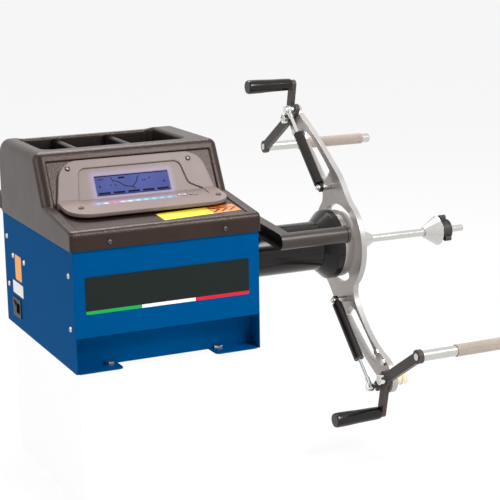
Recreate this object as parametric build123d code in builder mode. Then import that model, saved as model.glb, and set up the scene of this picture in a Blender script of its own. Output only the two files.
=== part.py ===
from build123d import *
from math import acos, atan2, cos, degrees, hypot, radians, sin, tan
import os

# Bench-mounted balancer with a horizontal spindle and a two-armed driving adapter.
# Millimetres. Origin: centre of the hold-down bolts, on the underside of the case.
# +X runs along the spindle to its free end, -Y is the operator's side, +Z is up.

# Clearances and shared sizes
running_fit = 0.05
loose_fit = 0.3
hole_fit = 0.4
overrun = 5.0
pan_head_radius = 4.5
pan_head_height = 2.6
pan_shank_radius = 2.0
pan_shank_length = 9.0
pan_head_slope = 30.0

# Sheet-metal case
case_width = 314.0
case_depth = 377.0
case_height = 196.0
sheet = 2.0
panel_sheet = 1.5
toe_height = 58.0
toe_depth = 35.0
rim_flange = 26.0
panel_corner_radius = 2.5
floor_tab_width = 76.0
floor_tab_radius = 7.0
hold_down_side_inset = 63.0
hold_down_front_inset = 25.5
hold_down_radius = 4.0
hold_down_head_radius = 7.5
hold_down_head_height = 5.5
hold_down_reach = 20.0
screw_edge_gap = 21.0
screw_low_height = 69.0
screw_high_height = 154.0
skirt_screw_inset = 60.0
skirt_screw_rise = 11.0
skirt_tab_width = 18.0
skirt_tab_height = 19.0

# Moulded cover
skirt_overhang = 3.5
cover_wall = 3.5
skirt_rise = 30.0
deck_rise = 17.0
deck_run = 126.0
console_rise = 82.0
console_run = 44.0
deck_edge_radius = 9.0
console_front_radius = 14.0
console_back_radius = 38.0
deck_side_radius = 5.0
console_side_radius = 14.0
console_side_wall = 8.0
console_root = 30.0
panel_recess = 3.0
side_bead = 18.0
front_bead = 13.0
top_bead = 17.0
bead_radius = 2.5
tray_front_gap = 27.0
tray_back_gap = 27.0
tray_left_gap = 26.5
tray_right_gap = 44.5
tray_depth = 55.0
tray_corner_radius = 16.0
tray_rim_radius = 5.0
tray_draft = 2.0
rib_shares = (0.288, 0.672)
tray_rib = 10.0
tray_rib_drop = 9.0
tray_boss_radius = 7.0
tray_boss_gap = 11.0
tray_boss_drop = 5.0
tray_boss_dimple_radius = 3.5
tray_boss_dimple = 2.5

# Fascia with display, lit bar and buttons
fascia_sheet = 5.0
fascia_proud = 2.0
shelf_lift = 7.5
shelf_sheet = 6.0
shelf_reach = 74.0
shelf_foot = 12.0
fascia_side_gap = 4.5
fascia_taper = 16.0
shelf_corner_radius = 36.0
fascia_top_gap = 19.0
fascia_top_radius = 36.0
display_pocket_depth = 2.5
display_pocket_left_gap = 37.0
display_pocket_right_gap = 46.0
display_pocket_flare_gap = 23.0
display_pocket_flare_height = 12.0
display_pocket_top_inset = 9.0
display_pocket_height = 52.0
display_pocket_radius = 13.0
shelf_channel_depth = 1.2
shelf_channel_reach = 36.0
window_offset = -4.0
window_width = 128.0
window_height = 34.0
window_lift = 3.0
display_module_width = 150.0
display_module_height = 46.0
display_module_depth = 14.0
board_width = 200.0
board_height = 52.0
board_sheet = 1.6
lit_bar_side_gap = 69.5
lit_bar_depth = 7.0
lit_bar_offset = 12.5
lit_bar_gap = 26.0
lit_bar_sink = 1.5
button_width = 15.0
button_depth = 9.0
button_height = 4.4
button_travel = 0.6
button_pocket = 4.2
first_button_side_gap = 70.0
button_pitch = 20.0
button_gap = 24.0
fascia_screw_radius = 4.5
fascia_screw_height = 1.8
fascia_screw_shank = 1.6
upper_screw_offset = -5.0
upper_screw_side_gap = 33.0
upper_screw_gap = 33.0
lower_screw_offset = 6.0
lower_screw_side_gap = 20.0
lower_screw_gap = 42.0

# Mains inlet with rocker switch, on the left side panel
inlet_back_gap = 64.9
inlet_centre_z = 35.3
inlet_width = 40.0
inlet_height = 29.0
inlet_flange = 2.0
inlet_border = 2.0
inlet_depth = 30.0
socket_width = 20.0
socket_height = 18.0
socket_depth = 18.0
socket_pin_length = 13.0
socket_pin = 3.0
rocker_width = 10.0
rocker_height = 20.0
rocker_slack = 1.1
rocker_swing = 7.0
rocker_sink = 4.0
rocker_foot = 5.0
rocker_pocket = 12.0
rocker_pin_radius = 1.6
rocker_pin_length = 1.2
socket_margin = 2.5

# Front label, rear bumper
label_side_gap = 18.5
label_height = 59.0
label_low = 94.5
label_sheet = 0.6
bumper_width = 46.0
bumper_height = 31.5
bumper_depth = 20.0
bumper_rise = 32.0
bumper_corner_radius = 6.0
bumper_relief = 0.75
label_corner_radius = 3.0

# Spindle train; stations are distances from the case's middle along +X
spindle_height = 113.0
housing_radius = 43.4
housing_bore = 30.0
housing_encoder_gap = 14.0
housing_front = 355.0
bearing_radius = 36.0
bearing_width = 17.0
shaft_radius = 17.5
shaft_wall_gap = 12.0
hub_gap = 0.5
hub_cone_length = 20.5
hub_radius = 61.7
hub_front = 388.0
flange_radius = 60.0
plate_back = 405.0
plate_sheet = 10.0
centring_radius = 7.0
centring_length = 235.0
pilot_radius = 6.0
pilot_length = 30.0
pulley_width = 16.0
pulley_back_gap = 5.0
driven_pulley_radius = 52.0
motor_pulley_radius = 20.0
pulley_lip = 2.5
belt_sheet = 2.0
belt_width = 12.0
motor_toe_gap = 7.5
motor_z = 52.0
motor_radius = 34.0
motor_length = 105.0
motor_shaft_radius = 6.0
motor_foot_width = 50.0
motor_foot_inset = 15.0
motor_pulley_gap = 6.0
encoder_radius = 50.0
encoder_sheet = 1.5
encoder_slots = 24
encoder_pulley_gap = 30.0
encoder_hub = 6.0
encoder_slot_length = 6.0
encoder_sensor_width = 16.0
encoder_sensor_height = 20.0
pedestal_foot = 10.0
pedestal_sheet = 12.0
pedestal_housing_gap = 20.0
pedestal_front = 100.0
pedestal_rim = 12.0
sensor_radius = 11.0
sensor_length = 20.0
sensor_pitch = 70.0
sensor_ledge_sheet = 8.0
sensor_ledge_top = 135.0

# Two-armed adapter plate; u runs out along an arm, v across it
arm_tilt = 50.0
disc_radius = 88.0
pivot_y = 180.0
pivot_z = 205.0
crescent_radius = 63.5
crescent_width = 14.0
crescent_start = 7.0
crescent_sweep = 82.0
plate_screw_circle = 46.0
plate_screw_count = 6
plate_screw_radius = 4.0
plate_screw_head = 6.5
plate_screw_head_height = 5.0
arm_bolt_radius = 3.0
arm_bolt_head = 6.5
arm_bolt_head_height = 4.0
window_corner_radius = 3.5
front_edge_shares = [(0.090, 0.308), (0.198, 0.290), (0.341, 0.286), (0.444, 0.260),
                     (0.554, 0.231), (0.700, 0.187), (0.968, 0.084)]
rear_edge_shares = [(0.979, -0.073), (0.927, -0.077), (0.832, -0.033), (0.480, 0.048),
                    (0.378, 0.037), (0.322, -0.018)]
arm_tip_shares = [(1.077, -0.012)]
window_shares = [(0.411, 0.117), (0.425, 0.213), (0.550, 0.187), (0.751, 0.132),
                 (0.880, 0.051), (0.792, 0.029), (0.469, 0.079)]
arm_bolt_shares = [(0.894, -0.040), (0.806, -0.004)]

# Struts
strut_clearance = 11.0
stud_tip = 6.0
strut_foot_y = 27.6
strut_foot_z = 98.2
strut_head_y = -26.0
strut_head_z = 20.2
stud_radius = 4.0
spacer_radius = 5.5
stud_cap_radius = 5.5
stud_cap_height = 3.0
eye_radius = 8.0
eye_width = 5.0
strut_neck = 8.0
strut_tube_radius = 9.0
strut_tube_length = 114.0
strut_wall = 3.0
strut_rod_radius = 3.0
strut_rod_start = 42.0
rod_collar_radius = 4.5
rod_collar_gap = 7.5
rod_collar_length = 11.0
head_pin_radius = 5.0
head_cap_radius = 6.5
head_cap_height = 5.0

# Cranks with bars and hand grips
crank_sheet = 8.0
crank_gap = 0.5
pivot_radius = 7.0
pivot_boss_radius = 14.0
pivot_head_radius = 8.5
pivot_head_height = 5.0
pivot_nut_radius = 9.0
pivot_nut_height = 10.0
bolt_end_sink = 0.8
bar_y = 105.0
bar_z = -68.0
bar_boss_radius = 12.0
link_width = 18.0
bar_radius = 9.0
bar_length = 226.0
bar_end_radius = 6.0
bar_end_proud = 1.5
sleeve_start = 68.0
sleeve_radius = 10.5
sleeve_length = 140.0
grip_y = -14.0
grip_z = 65.0
crank_arm_width = 17.0
lug_radius = 9.0
grip_length = 89.0
grip_tip_radius = 13.5
grip_waist_radius = 12.3
grip_neck_radius = 10.0
grip_waist_share = 0.45
grip_bore = 4.1
axle_radius = 4.0
axle_head_radius = 6.5
axle_head_height = 3.0
grip_mouth_radius = 9.0
grip_mouth_depth = 9.0
drum_radius = 13.0
drum_rear = 11.0
drum_ring = 10.0
drum_ring_radius = 14.0

# Cones and quick nut on the centring shaft
rear_cone_collar = 22.0
rear_cone_length = 35.0
cone_tip_radius = 10.0
cone_base_radius = 27.0
collar_radius = 12.0
front_cone_station = 585.0
front_cone_length = 28.0
quick_nut_length = 24.0
quick_nut_radius = 19.0
quick_nut_wings = 3

# Measuring gauge beside the spindle
gauge_rod_y = 80.0
gauge_rod_z = 178.0
gauge_rod_radius = 7.0
gauge_rod_back = -40.0
gauge_tip_y = -130.0
gauge_tip_z = 159.0
gauge_left = 222.0
gauge_arm_width = 18.0
gauge_rod_end_radius = 12.5
gauge_tube_radius = 14.0
gauge_sheet = 2.5
gauge_tube_length = 125.0
gauge_tube_wall = 2.0
gauge_cap_radius = 15.2
gauge_cap_length = 5.0
gauge_cap_plug = 10.0
gauge_hub_radius = 12.0
gauge_collar_radius = 11.0
gauge_collar_length = 5.0
bush_radius = 11.0
bush_flange_radius = 13.8
bush_flange = 3.0
bush_length = 60.0

# Power supply on the left side panel
supply_width = 55.0
supply_height = 48.0
supply_pulley_gap = 19.0
supply_screw_pitch = 64.5
supply_screw_height = 125.5

os.makedirs("parts", exist_ok=True)

frame_width = case_width - 2 * panel_sheet
case_front = -case_depth / 2
case_back = case_depth / 2
hold_down_pitch_x = case_width - 2 * hold_down_side_inset
hold_down_pitch_y = case_depth - 2 * hold_down_front_inset
skirt_screw_spread = case_width - 2 * skirt_screw_inset
skirt_screw_height = case_height + skirt_screw_rise
deck_front_height = case_height + skirt_rise
deck_back_height = deck_front_height + deck_rise
console_height = deck_back_height + console_rise
inlet_centre_y = case_back - inlet_back_gap
supply_screw_front = driven_pulley_radius + supply_pulley_gap
supply_screw_back = supply_screw_front + supply_screw_pitch
motor_y = case_front + toe_depth + motor_toe_gap + motor_radius
bumper_top = case_height + bumper_rise
label_width = case_width - 2 * label_side_gap
shaft_back = shaft_wall_gap - case_width / 2
pulley_station = shaft_back + pulley_back_gap
encoder_station = pulley_station + pulley_width + encoder_pulley_gap
housing_back = encoder_station + housing_encoder_gap
pedestal_back = housing_back + pedestal_housing_gap
arms = (("upper", 0), ("lower", 180))


def save(piece, label):
    """Labels a finished piece and writes it as one file."""
    piece.part.label = label
    export_step(piece.part, "parts/" + label + ".step")


def facing_x(x, y=0, z=0):
    """A plane square to X, with local x along +Y and local y up."""
    return Plane(origin=(x, y, z), x_dir=(0, 1, 0), z_dir=(1, 0, 0))


def spindle_plane(x, turn=0, y=0, z=0):
    """A plane square to the spindle and turned about it, with its origin y, z away in turned directions."""
    angle = radians(turn)
    out_y = y * cos(angle) - z * sin(angle)
    out_z = y * sin(angle) + z * cos(angle)
    origin = (x, out_y, spindle_height + out_z)
    return Plane(origin=origin, x_dir=(0, cos(angle), sin(angle)), z_dir=(1, 0, 0))


def disc_between(place, radius, length):
    """Adds a round bar that stands on a plane."""
    with BuildSketch(place) as section:
        Circle(radius)
    extrude(section.sketch, amount=length)


def bore_between(place, radius, length):
    """Cuts a round hole that starts on a plane."""
    with BuildSketch(place) as section:
        Circle(radius)
    extrude(section.sketch, amount=length, mode=Mode.SUBTRACT)


def pan_screw(place, head_radius, head_height, shank_radius, shank_length):
    """Adds a domed screw: head above the plane, shank below it."""
    with BuildSketch(place) as head:
        Circle(head_radius)
    extrude(head.sketch, amount=head_height, taper=pan_head_slope)
    disc_between(place, shank_radius, -shank_length)


def case_screw(place):
    """Adds one of the case's pan head screws."""
    pan_screw(place, pan_head_radius, pan_head_height, pan_shank_radius, pan_shank_length)


# Case

def case_section(inset):
    """Side view of the case, drawn in by inset: an upright box with a toe recess along front and back."""
    front = case_front + inset
    toe = front + toe_depth
    step = toe_height + inset
    top = case_height - inset
    return [(front, top), (front, step), (toe, step), (toe, inset),
            (-toe, inset), (-toe, step), (-front, step), (-front, top)]


def case_block(inset, width, mode=Mode.ADD):
    """Adds or cuts the case's section, width long."""
    with BuildSketch(Plane.YZ) as section:
        with BuildLine():
            Polyline(*case_section(inset), close=True)
        make_face()
    extrude(section.sketch, amount=width / 2, both=True, mode=mode)


side_screw_y = case_depth / 2 - screw_edge_gap
side_screws = [(y, z) for y in (-side_screw_y, side_screw_y) for z in (screw_low_height, screw_high_height)]
supply_screws = [(supply_screw_front, supply_screw_height), (supply_screw_back, supply_screw_height)]
skirt_half = skirt_screw_spread / 2
tab_x = frame_width / 2 - floor_tab_width / 2
tab_y = -case_front - toe_depth
skirt_tab_y = -case_front - sheet / 2

with BuildPart() as chassis:
    case_block(0, frame_width)
    case_block(sheet, frame_width - 2 * sheet, Mode.SUBTRACT)
    case_block(sheet + rim_flange, frame_width + overrun, Mode.SUBTRACT)
    with BuildSketch(Plane.XY.offset(case_height - sheet)):
        Rectangle(frame_width - 2 * rim_flange, case_depth - 2 * rim_flange)
    extrude(amount=sheet, mode=Mode.SUBTRACT)
    with BuildSketch():
        with GridLocations(2 * tab_x, 2 * tab_y, 2, 2):
            RectangleRounded(floor_tab_width, 2 * toe_depth, floor_tab_radius)
    extrude(amount=sheet)
    with BuildSketch():
        with GridLocations(hold_down_pitch_x, hold_down_pitch_y, 2, 2):
            Circle(hold_down_radius + hole_fit)
    extrude(amount=sheet, mode=Mode.SUBTRACT)
    with BuildSketch(Plane.XY.offset(case_height)):
        with GridLocations(skirt_screw_spread, 2 * skirt_tab_y, 2, 2):
            Rectangle(skirt_tab_width, sheet)
    extrude(amount=skirt_tab_height)
    with BuildSketch(Plane.XZ.offset(case_front - overrun)):
        with Locations((skirt_half, skirt_screw_height), (-skirt_half, skirt_screw_height)):
            Circle(pan_shank_radius + hole_fit)
    extrude(amount=case_depth + 2 * overrun, mode=Mode.SUBTRACT)
    with BuildSketch(Plane.YZ):
        with Locations(*side_screws):
            Circle(pan_shank_radius + hole_fit)
    extrude(amount=frame_width, both=True, mode=Mode.SUBTRACT)
    bore_between(facing_x(0, gauge_rod_y, gauge_rod_z), bush_radius + running_fit, frame_width)
    with BuildSketch(facing_x(-frame_width / 2)):
        with Locations((inlet_centre_y, inlet_centre_z)):
            Rectangle(inlet_width + hole_fit, inlet_height + hole_fit)
    extrude(amount=2 * sheet, mode=Mode.SUBTRACT)
save(chassis, "chassis")


def side_panel(x, cut_holes):
    """One side of the case: a plate with rounded feet and its screw holes, then its own openings."""
    with BuildPart() as panel:
        with BuildSketch(facing_x(x)) as outline:
            with Locations((0, case_height / 2)):
                Rectangle(case_depth, case_height)
            fillet(outline.vertices().group_by(Axis.Y)[0], panel_corner_radius)
            with Locations(*side_screws):
                Circle(pan_shank_radius + hole_fit, mode=Mode.SUBTRACT)
        extrude(amount=panel_sheet)
        cut_holes(facing_x(x))
    return panel


def left_holes(place):
    """Openings for the mains inlet and the power supply's screws."""
    with BuildSketch(place) as holes:
        with Locations((inlet_centre_y, inlet_centre_z)):
            Rectangle(inlet_width + hole_fit, inlet_height + hole_fit)
        with Locations(*supply_screws):
            Circle(pan_shank_radius + hole_fit)
    extrude(holes.sketch, amount=panel_sheet, mode=Mode.SUBTRACT)


def right_holes(place):
    """Openings for the spindle housing and the gauge's bush."""
    with BuildSketch(place) as holes:
        with Locations((0, spindle_height)):
            Circle(housing_radius + 2 * hole_fit)
        with Locations((gauge_rod_y, gauge_rod_z)):
            Circle(bush_radius + running_fit)
    extrude(holes.sketch, amount=panel_sheet, mode=Mode.SUBTRACT)


save(side_panel(-case_width / 2, left_holes), "side_panel_left")
save(side_panel(frame_width / 2, right_holes), "side_panel_right")

with BuildPart() as case_screws:
    for y, z in side_screws + supply_screws:
        case_screw(Plane(origin=(-case_width / 2, y, z), z_dir=(-1, 0, 0)))
    for y, z in side_screws:
        case_screw(facing_x(case_width / 2, y, z))
    for x in (-skirt_half, skirt_half):
        for way in (-1, 1):
            skirt_y = way * (case_depth / 2 + skirt_overhang)
            case_screw(Plane(origin=(x, skirt_y, skirt_screw_height), z_dir=(0, way, 0)))
save(case_screws, "case_screws")

with BuildPart() as hold_down_bolts:
    with BuildSketch(Plane.XY.offset(sheet)):
        with GridLocations(hold_down_pitch_x, hold_down_pitch_y, 2, 2):
            RegularPolygon(hold_down_head_radius, 6)
    extrude(amount=hold_down_head_height)
    with BuildSketch():
        with GridLocations(hold_down_pitch_x, hold_down_pitch_y, 2, 2):
            Circle(hold_down_radius + hole_fit / 2)
    extrude(amount=sheet)
    with BuildSketch():
        with GridLocations(hold_down_pitch_x, hold_down_pitch_y, 2, 2):
            Circle(hold_down_radius)
    extrude(amount=-hold_down_reach)
save(hold_down_bolts, "hold_down_bolts")

# Cover: side view points run along the deck and up the console's slope

cover_front = case_front - skirt_overhang
cover_back = -cover_front
cover_half = case_width / 2 + skirt_overhang
foot_y = cover_front + deck_run
deck_angle = atan2(deck_back_height - deck_front_height, deck_run)
slope_angle = atan2(console_height - deck_back_height, console_run)
slope_length = hypot(console_height - deck_back_height, console_run)
tray_front = foot_y + console_run + tray_front_gap
tray_back = cover_back - tray_back_gap
tray_middle = (tray_front + tray_back) / 2
tray_left = tray_left_gap - cover_half
tray_right = cover_half - tray_right_gap
recess_half = cover_half - side_bead
fascia_half_width = recess_half - fascia_side_gap
fascia_top_half_width = fascia_half_width - fascia_taper
display_pocket_left = display_pocket_left_gap - fascia_half_width
display_pocket_right = fascia_half_width - display_pocket_right_gap
display_pocket_flare = fascia_half_width - display_pocket_flare_gap
lit_bar_width = 2 * (fascia_half_width - lit_bar_side_gap)
first_button_offset = fascia_half_width - first_button_side_gap
upper_screw_half_spread = fascia_half_width - upper_screw_side_gap
lower_screw_half_spread = fascia_half_width - lower_screw_side_gap
tray_floor = console_height - tray_depth


def on_deck(back, sunk=0):
    """A side view point on the deck, back from its front edge and sunk below its surface."""
    y = cover_front + back * cos(deck_angle) + sunk * sin(deck_angle)
    z = deck_front_height + back * sin(deck_angle) - sunk * cos(deck_angle)
    return (y, z)


def on_slope(up, sunk=0):
    """A side view point on the console's slope, up from its foot and sunk below its surface."""
    y = foot_y + up * cos(slope_angle) + sunk * sin(slope_angle)
    z = deck_back_height + up * sin(slope_angle) - sunk * cos(slope_angle)
    return (y, z)


def deck_run_to_foot(deck_sunk, slope_sunk):
    """How far back the deck, sunk by one amount, meets the slope, sunk by another."""
    deck = on_deck(0, deck_sunk)
    slope = on_slope(0, slope_sunk)
    cross = (slope[0] - deck[0]) * sin(slope_angle) - (slope[1] - deck[1]) * cos(slope_angle)
    return cross / sin(slope_angle - deck_angle)


def foot_corner(deck_sunk, slope_sunk):
    """The side view point where the sunk deck and the sunk slope meet."""
    return on_deck(deck_run_to_foot(deck_sunk, slope_sunk), deck_sunk)


def deck_plane(sunk=0):
    """A plane parallel to the deck; local y runs back from the deck's front edge."""
    y, z = on_deck(0, sunk)
    return Plane(origin=(0, y, z), x_dir=(1, 0, 0), z_dir=(0, -sin(deck_angle), cos(deck_angle)))


def slope_plane(sunk=0):
    """A plane parallel to the console's slope; local y runs up from its foot."""
    y, z = on_slope(0, sunk)
    return Plane(origin=(0, y, z), x_dir=(1, 0, 0), z_dir=(0, -sin(slope_angle), cos(slope_angle)))


def side_view(points, half_width, mode=Mode.ADD):
    """Adds or cuts a prism along X from its side view."""
    with BuildSketch(Plane.YZ) as section:
        with BuildLine():
            Polyline(*points, close=True)
        make_face()
    extrude(section.sketch, amount=half_width, both=True, mode=mode)


shelf_back = deck_run_to_foot(-shelf_lift, -fascia_proud)
shelf_corner = foot_corner(-shelf_lift, -fascia_proud)
shelf_corner_up = (shelf_corner[1] - deck_back_height - fascia_proud * cos(slope_angle)) / sin(slope_angle)
window_up = shelf_corner_up + window_lift + window_height / 2
fascia_top = slope_length - fascia_top_gap
upper_screws = [(upper_screw_offset + way * upper_screw_half_spread, slope_length - upper_screw_gap)
                for way in (-1, 1)]
lower_screws = [(lower_screw_offset + way * lower_screw_half_spread, shelf_back - lower_screw_gap)
                for way in (-1, 1)]
ribs = [tray_left + share * (tray_right - tray_left) for share in rib_shares]
screw_hole = fascia_screw_shank + hole_fit


def rounded_block(corners, rounded, radii, side_radius):
    """A prism across the cover, with some corners of its side view rounded and then its long edges."""
    with BuildPart() as block:
        with BuildSketch(Plane.YZ) as profile:
            with BuildLine():
                Polyline(*corners, close=True)
            make_face()
            for corner, radius in zip(rounded, radii):
                fillet(profile.vertices().sort_by_distance((*corner, 0))[0], radius)
        extrude(amount=cover_half, both=True)
        ends = block.faces().filter_by(Axis.X).edges()
        fillet(ends.filter_by(lambda edge: edge.center().Z > case_height + overrun), side_radius)
    return block


def on_recess_rim(point):
    """Whether a point lies on the edge where the recess leaves the deck's or the slope's surface."""
    deck = deck_plane().to_local_coords(point)
    slope = slope_plane().to_local_coords(point)
    at_end = abs(abs(point.X) - recess_half) < running_fit
    on_front = abs(deck.Z) < running_fit and (at_end or abs(deck.Y - front_bead) < running_fit)
    on_top = abs(slope.Z) < running_fit and (at_end or abs(slope.Y - slope_length + top_bead) < running_fit)
    return (on_front or on_top) and abs(point.X) < recess_half + running_fit


def on_tray_rim(point):
    """Whether a point lies on the upper edge of the tray's opening."""
    inside_x = tray_left - running_fit < point.X < tray_right + running_fit
    inside_y = tray_front - running_fit < point.Y < tray_back + running_fit
    return inside_x and inside_y and abs(point.Z - console_height) < running_fit


def tray_rib_with_boss(x):
    """Adds one round-topped rib across the tray, with a dimpled boss at its back end."""
    crest = console_height - tray_rib_drop - tray_rib / 2
    with BuildSketch(Plane.XZ.offset(-tray_front)) as section:
        with Locations((x, (crest + tray_floor) / 2)):
            Rectangle(tray_rib, crest - tray_floor)
        with Locations((x, crest)):
            Circle(tray_rib / 2)
    extrude(section.sketch, amount=-(tray_back - tray_front))
    boss = Plane(origin=(x, tray_back - tray_boss_gap, console_height - tray_boss_drop))
    disc_between(boss, tray_boss_radius, tray_boss_drop - tray_depth)
    bore_between(boss, tray_boss_dimple_radius, -tray_boss_dimple)


top_front = (foot_y + console_run, console_height)
top_back = (cover_back, console_height)
front_top = (cover_front, deck_front_height)
slope_root = on_slope(-console_root)
console_view = [slope_root, top_front, top_back, (cover_back, case_height), (slope_root[0], case_height)]
console_block = rounded_block(console_view, (top_front, top_back),
                              (console_front_radius, console_back_radius), console_side_radius)
deck_view = [(cover_front, case_height), front_top, on_deck(deck_run + console_run),
             (foot_y + console_run, case_height)]
deck_block = rounded_block(deck_view, (front_top,), (deck_edge_radius,), deck_side_radius)

with BuildPart() as cover:
    add(console_block.part)
    add(deck_block.part)
    recess = [on_deck(front_bead, -overrun), foot_corner(-overrun, -overrun),
              on_slope(slope_length - top_bead, -overrun), on_slope(slope_length - top_bead, panel_recess),
              foot_corner(panel_recess, panel_recess), on_deck(front_bead, panel_recess)]
    side_view(recess, recess_half, Mode.SUBTRACT)
    under = panel_recess + cover_wall
    inner_start = (cover_wall - under * sin(deck_angle)) / cos(deck_angle)
    deck_cavity = [(cover_front + cover_wall, case_height), on_deck(inner_start, under),
                   foot_corner(under, under), (foot_y + console_run, case_height)]
    side_view(deck_cavity, cover_half - cover_wall, Mode.SUBTRACT)
    inner_top = on_slope(slope_length - console_front_radius, under)
    wall_front = tray_front - cover_wall
    wall_back = cover_back - cover_wall
    floor_under = tray_floor - cover_wall
    console_cavity = [(inner_top[0], case_height), foot_corner(under, under), inner_top,
                      (wall_front, inner_top[1]), (wall_front, floor_under),
                      (wall_back, floor_under), (wall_back, case_height)]
    side_view(console_cavity, cover_half - console_side_wall, Mode.SUBTRACT)
    console_inner = cover_half - console_side_wall
    beside_tray = ((-console_inner, tray_left - 2 * cover_wall), (tray_right + 2 * cover_wall, console_inner))
    for inner, outer in beside_tray:
        with BuildSketch(Plane.XY.offset(tray_floor - cover_wall)):
            with Locations(((inner + outer) / 2, (tray_front + cover_back) / 2)):
                Rectangle(outer - inner, cover_back - tray_front - 2 * console_side_wall)
        extrude(amount=inner_top[1] - tray_floor + cover_wall, mode=Mode.SUBTRACT)
    with BuildSketch(Plane.XY.offset(console_height)):
        with Locations(((tray_left + tray_right) / 2, tray_middle)):
            RectangleRounded(tray_right - tray_left, tray_back - tray_front, tray_corner_radius)
    extrude(amount=-tray_depth, taper=tray_draft, mode=Mode.SUBTRACT)
    with BuildSketch(slope_plane(panel_recess)):
        with Locations((0, window_up)):
            Rectangle(display_module_width + loose_fit, display_module_height + loose_fit)
        with Locations(*upper_screws):
            Circle(screw_hole)
    extrude(amount=-(cover_wall + overrun), mode=Mode.SUBTRACT)
    with BuildSketch(deck_plane(panel_recess)):
        with Locations(*lower_screws):
            Circle(screw_hole)
    extrude(amount=-(cover_wall + overrun), mode=Mode.SUBTRACT)
    with BuildSketch(Plane.XZ.offset(-cover_front)):
        with Locations((skirt_half, skirt_screw_height), (-skirt_half, skirt_screw_height)):
            Circle(pan_shank_radius + hole_fit)
    extrude(amount=-(cover_back - cover_front), mode=Mode.SUBTRACT)
    bead_edges = cover.edges().filter_by(lambda edge: on_recess_rim(edge.center()))
    fillet(bead_edges, bead_radius)
    fillet(cover.edges().filter_by(lambda edge: on_tray_rim(edge.center())), tray_rim_radius)
    for x in ribs:
        tray_rib_with_boss(x)
save(cover, "cover")

# Fascia: a shelf parallel to the deck and a plate on the slope, joined at the foot

foot_run = deck_run_to_foot(panel_recess, panel_recess)
shelf_under = shelf_sheet - shelf_lift
channel_lift = shelf_lift - shelf_channel_depth
channel_front = shelf_back - shelf_channel_reach
channel_back = deck_run_to_foot(-channel_lift, display_pocket_depth - fascia_proud)
pocket_low = shelf_corner_up - 2 * shelf_channel_depth
pocket_top = shelf_corner_up + display_pocket_height
lit_bar_back = shelf_back - lit_bar_gap
button_places = [(first_button_offset + step * button_pitch, shelf_back - button_gap) for step in (0, 1)]

with BuildPart() as fascia:
    with BuildSketch(deck_plane(shelf_under)) as shelf:
        with Locations((0, shelf_back - shelf_reach / 2)):
            Rectangle(2 * fascia_half_width, shelf_reach)
        fillet(shelf.vertices().group_by(Axis.Y)[0], shelf_corner_radius)
    extrude(amount=shelf_sheet)
    with BuildSketch(slope_plane(panel_recess)) as upper:
        with BuildLine():
            Polyline((-fascia_half_width, 0), (fascia_half_width, 0), (fascia_top_half_width, fascia_top),
                     (-fascia_top_half_width, fascia_top), close=True)
        make_face()
        fillet(upper.vertices().group_by(Axis.Y)[-1], fascia_top_radius)
    extrude(amount=fascia_sheet)
    foot = [on_deck(foot_run - shelf_foot, shelf_under), on_deck(foot_run - shelf_foot, panel_recess),
            foot_corner(panel_recess, panel_recess), foot_corner(shelf_under, panel_recess)]
    side_view(foot, fascia_half_width)
    with BuildSketch(deck_plane(panel_recess)):
        with Locations(*lower_screws):
            Circle(fascia_screw_radius)
    extrude(amount=panel_recess - shelf_under)
    flare_top = (display_pocket_right, shelf_corner_up + display_pocket_flare_height)
    with BuildSketch(slope_plane(-fascia_proud)) as pocket:
        with BuildLine():
            Polyline((display_pocket_left, pocket_low), (display_pocket_flare, pocket_low),
                     (display_pocket_flare, shelf_corner_up), flare_top,
                     (display_pocket_right - display_pocket_top_inset, pocket_top),
                     (display_pocket_left + display_pocket_top_inset, pocket_top), close=True)
        make_face()
        fillet(pocket.vertices().group_by(Axis.Y)[-1], display_pocket_radius)
        fillet(pocket.vertices().sort_by_distance((*flare_top, 0))[0], display_pocket_radius)
    extrude(amount=-display_pocket_depth, mode=Mode.SUBTRACT)
    with BuildSketch(deck_plane(-shelf_lift)) as channel:
        with BuildLine():
            Polyline((display_pocket_left, channel_front), (display_pocket_left, channel_back),
                     (display_pocket_flare, channel_back), (display_pocket_flare, channel_front), close=True)
        make_face()
        fillet(channel.vertices().group_by(Axis.Y)[0], display_pocket_radius)
    extrude(amount=-shelf_channel_depth, mode=Mode.SUBTRACT)
    with BuildSketch(slope_plane(panel_recess)):
        with Locations((window_offset, window_up)):
            Rectangle(window_width, window_height)
        with Locations(*upper_screws):
            Circle(screw_hole)
    extrude(amount=fascia_sheet, mode=Mode.SUBTRACT)
    with BuildSketch(deck_plane(-channel_lift)):
        with Locations((-lit_bar_offset, lit_bar_back)):
            Rectangle(lit_bar_width, lit_bar_depth)
    extrude(amount=-lit_bar_sink, mode=Mode.SUBTRACT)
    with BuildSketch(deck_plane(-channel_lift)):
        with Locations(*button_places):
            SlotOverall(button_width + 2 * loose_fit, button_depth + 2 * loose_fit)
    extrude(amount=-button_pocket, mode=Mode.SUBTRACT)
    with BuildSketch(deck_plane(-shelf_lift)):
        with Locations(*lower_screws):
            Circle(screw_hole)
    extrude(amount=-(shelf_lift + panel_recess), mode=Mode.SUBTRACT)
save(fascia, "fascia")

with BuildPart() as fascia_screws:
    shank = fascia_sheet + cover_wall
    long_shank = shelf_lift + panel_recess + cover_wall
    for x, up in upper_screws:
        seat = slope_plane(-fascia_proud)
        pan_screw(Plane(origin=seat.from_local_coords((x, up, 0)), z_dir=seat.z_dir),
                  fascia_screw_radius, fascia_screw_height, fascia_screw_shank, shank)
    for x, back in lower_screws:
        seat = deck_plane(-shelf_lift)
        pan_screw(Plane(origin=seat.from_local_coords((x, back, 0)), z_dir=seat.z_dir),
                  fascia_screw_radius, fascia_screw_height, fascia_screw_shank, long_shank)
save(fascia_screws, "fascia_screws")

with BuildPart() as display_window:
    with BuildSketch(slope_plane(panel_recess)):
        with Locations((window_offset, window_up)):
            Rectangle(window_width, window_height)
    extrude(amount=fascia_sheet - display_pocket_depth)
save(display_window, "display_window")

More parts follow.
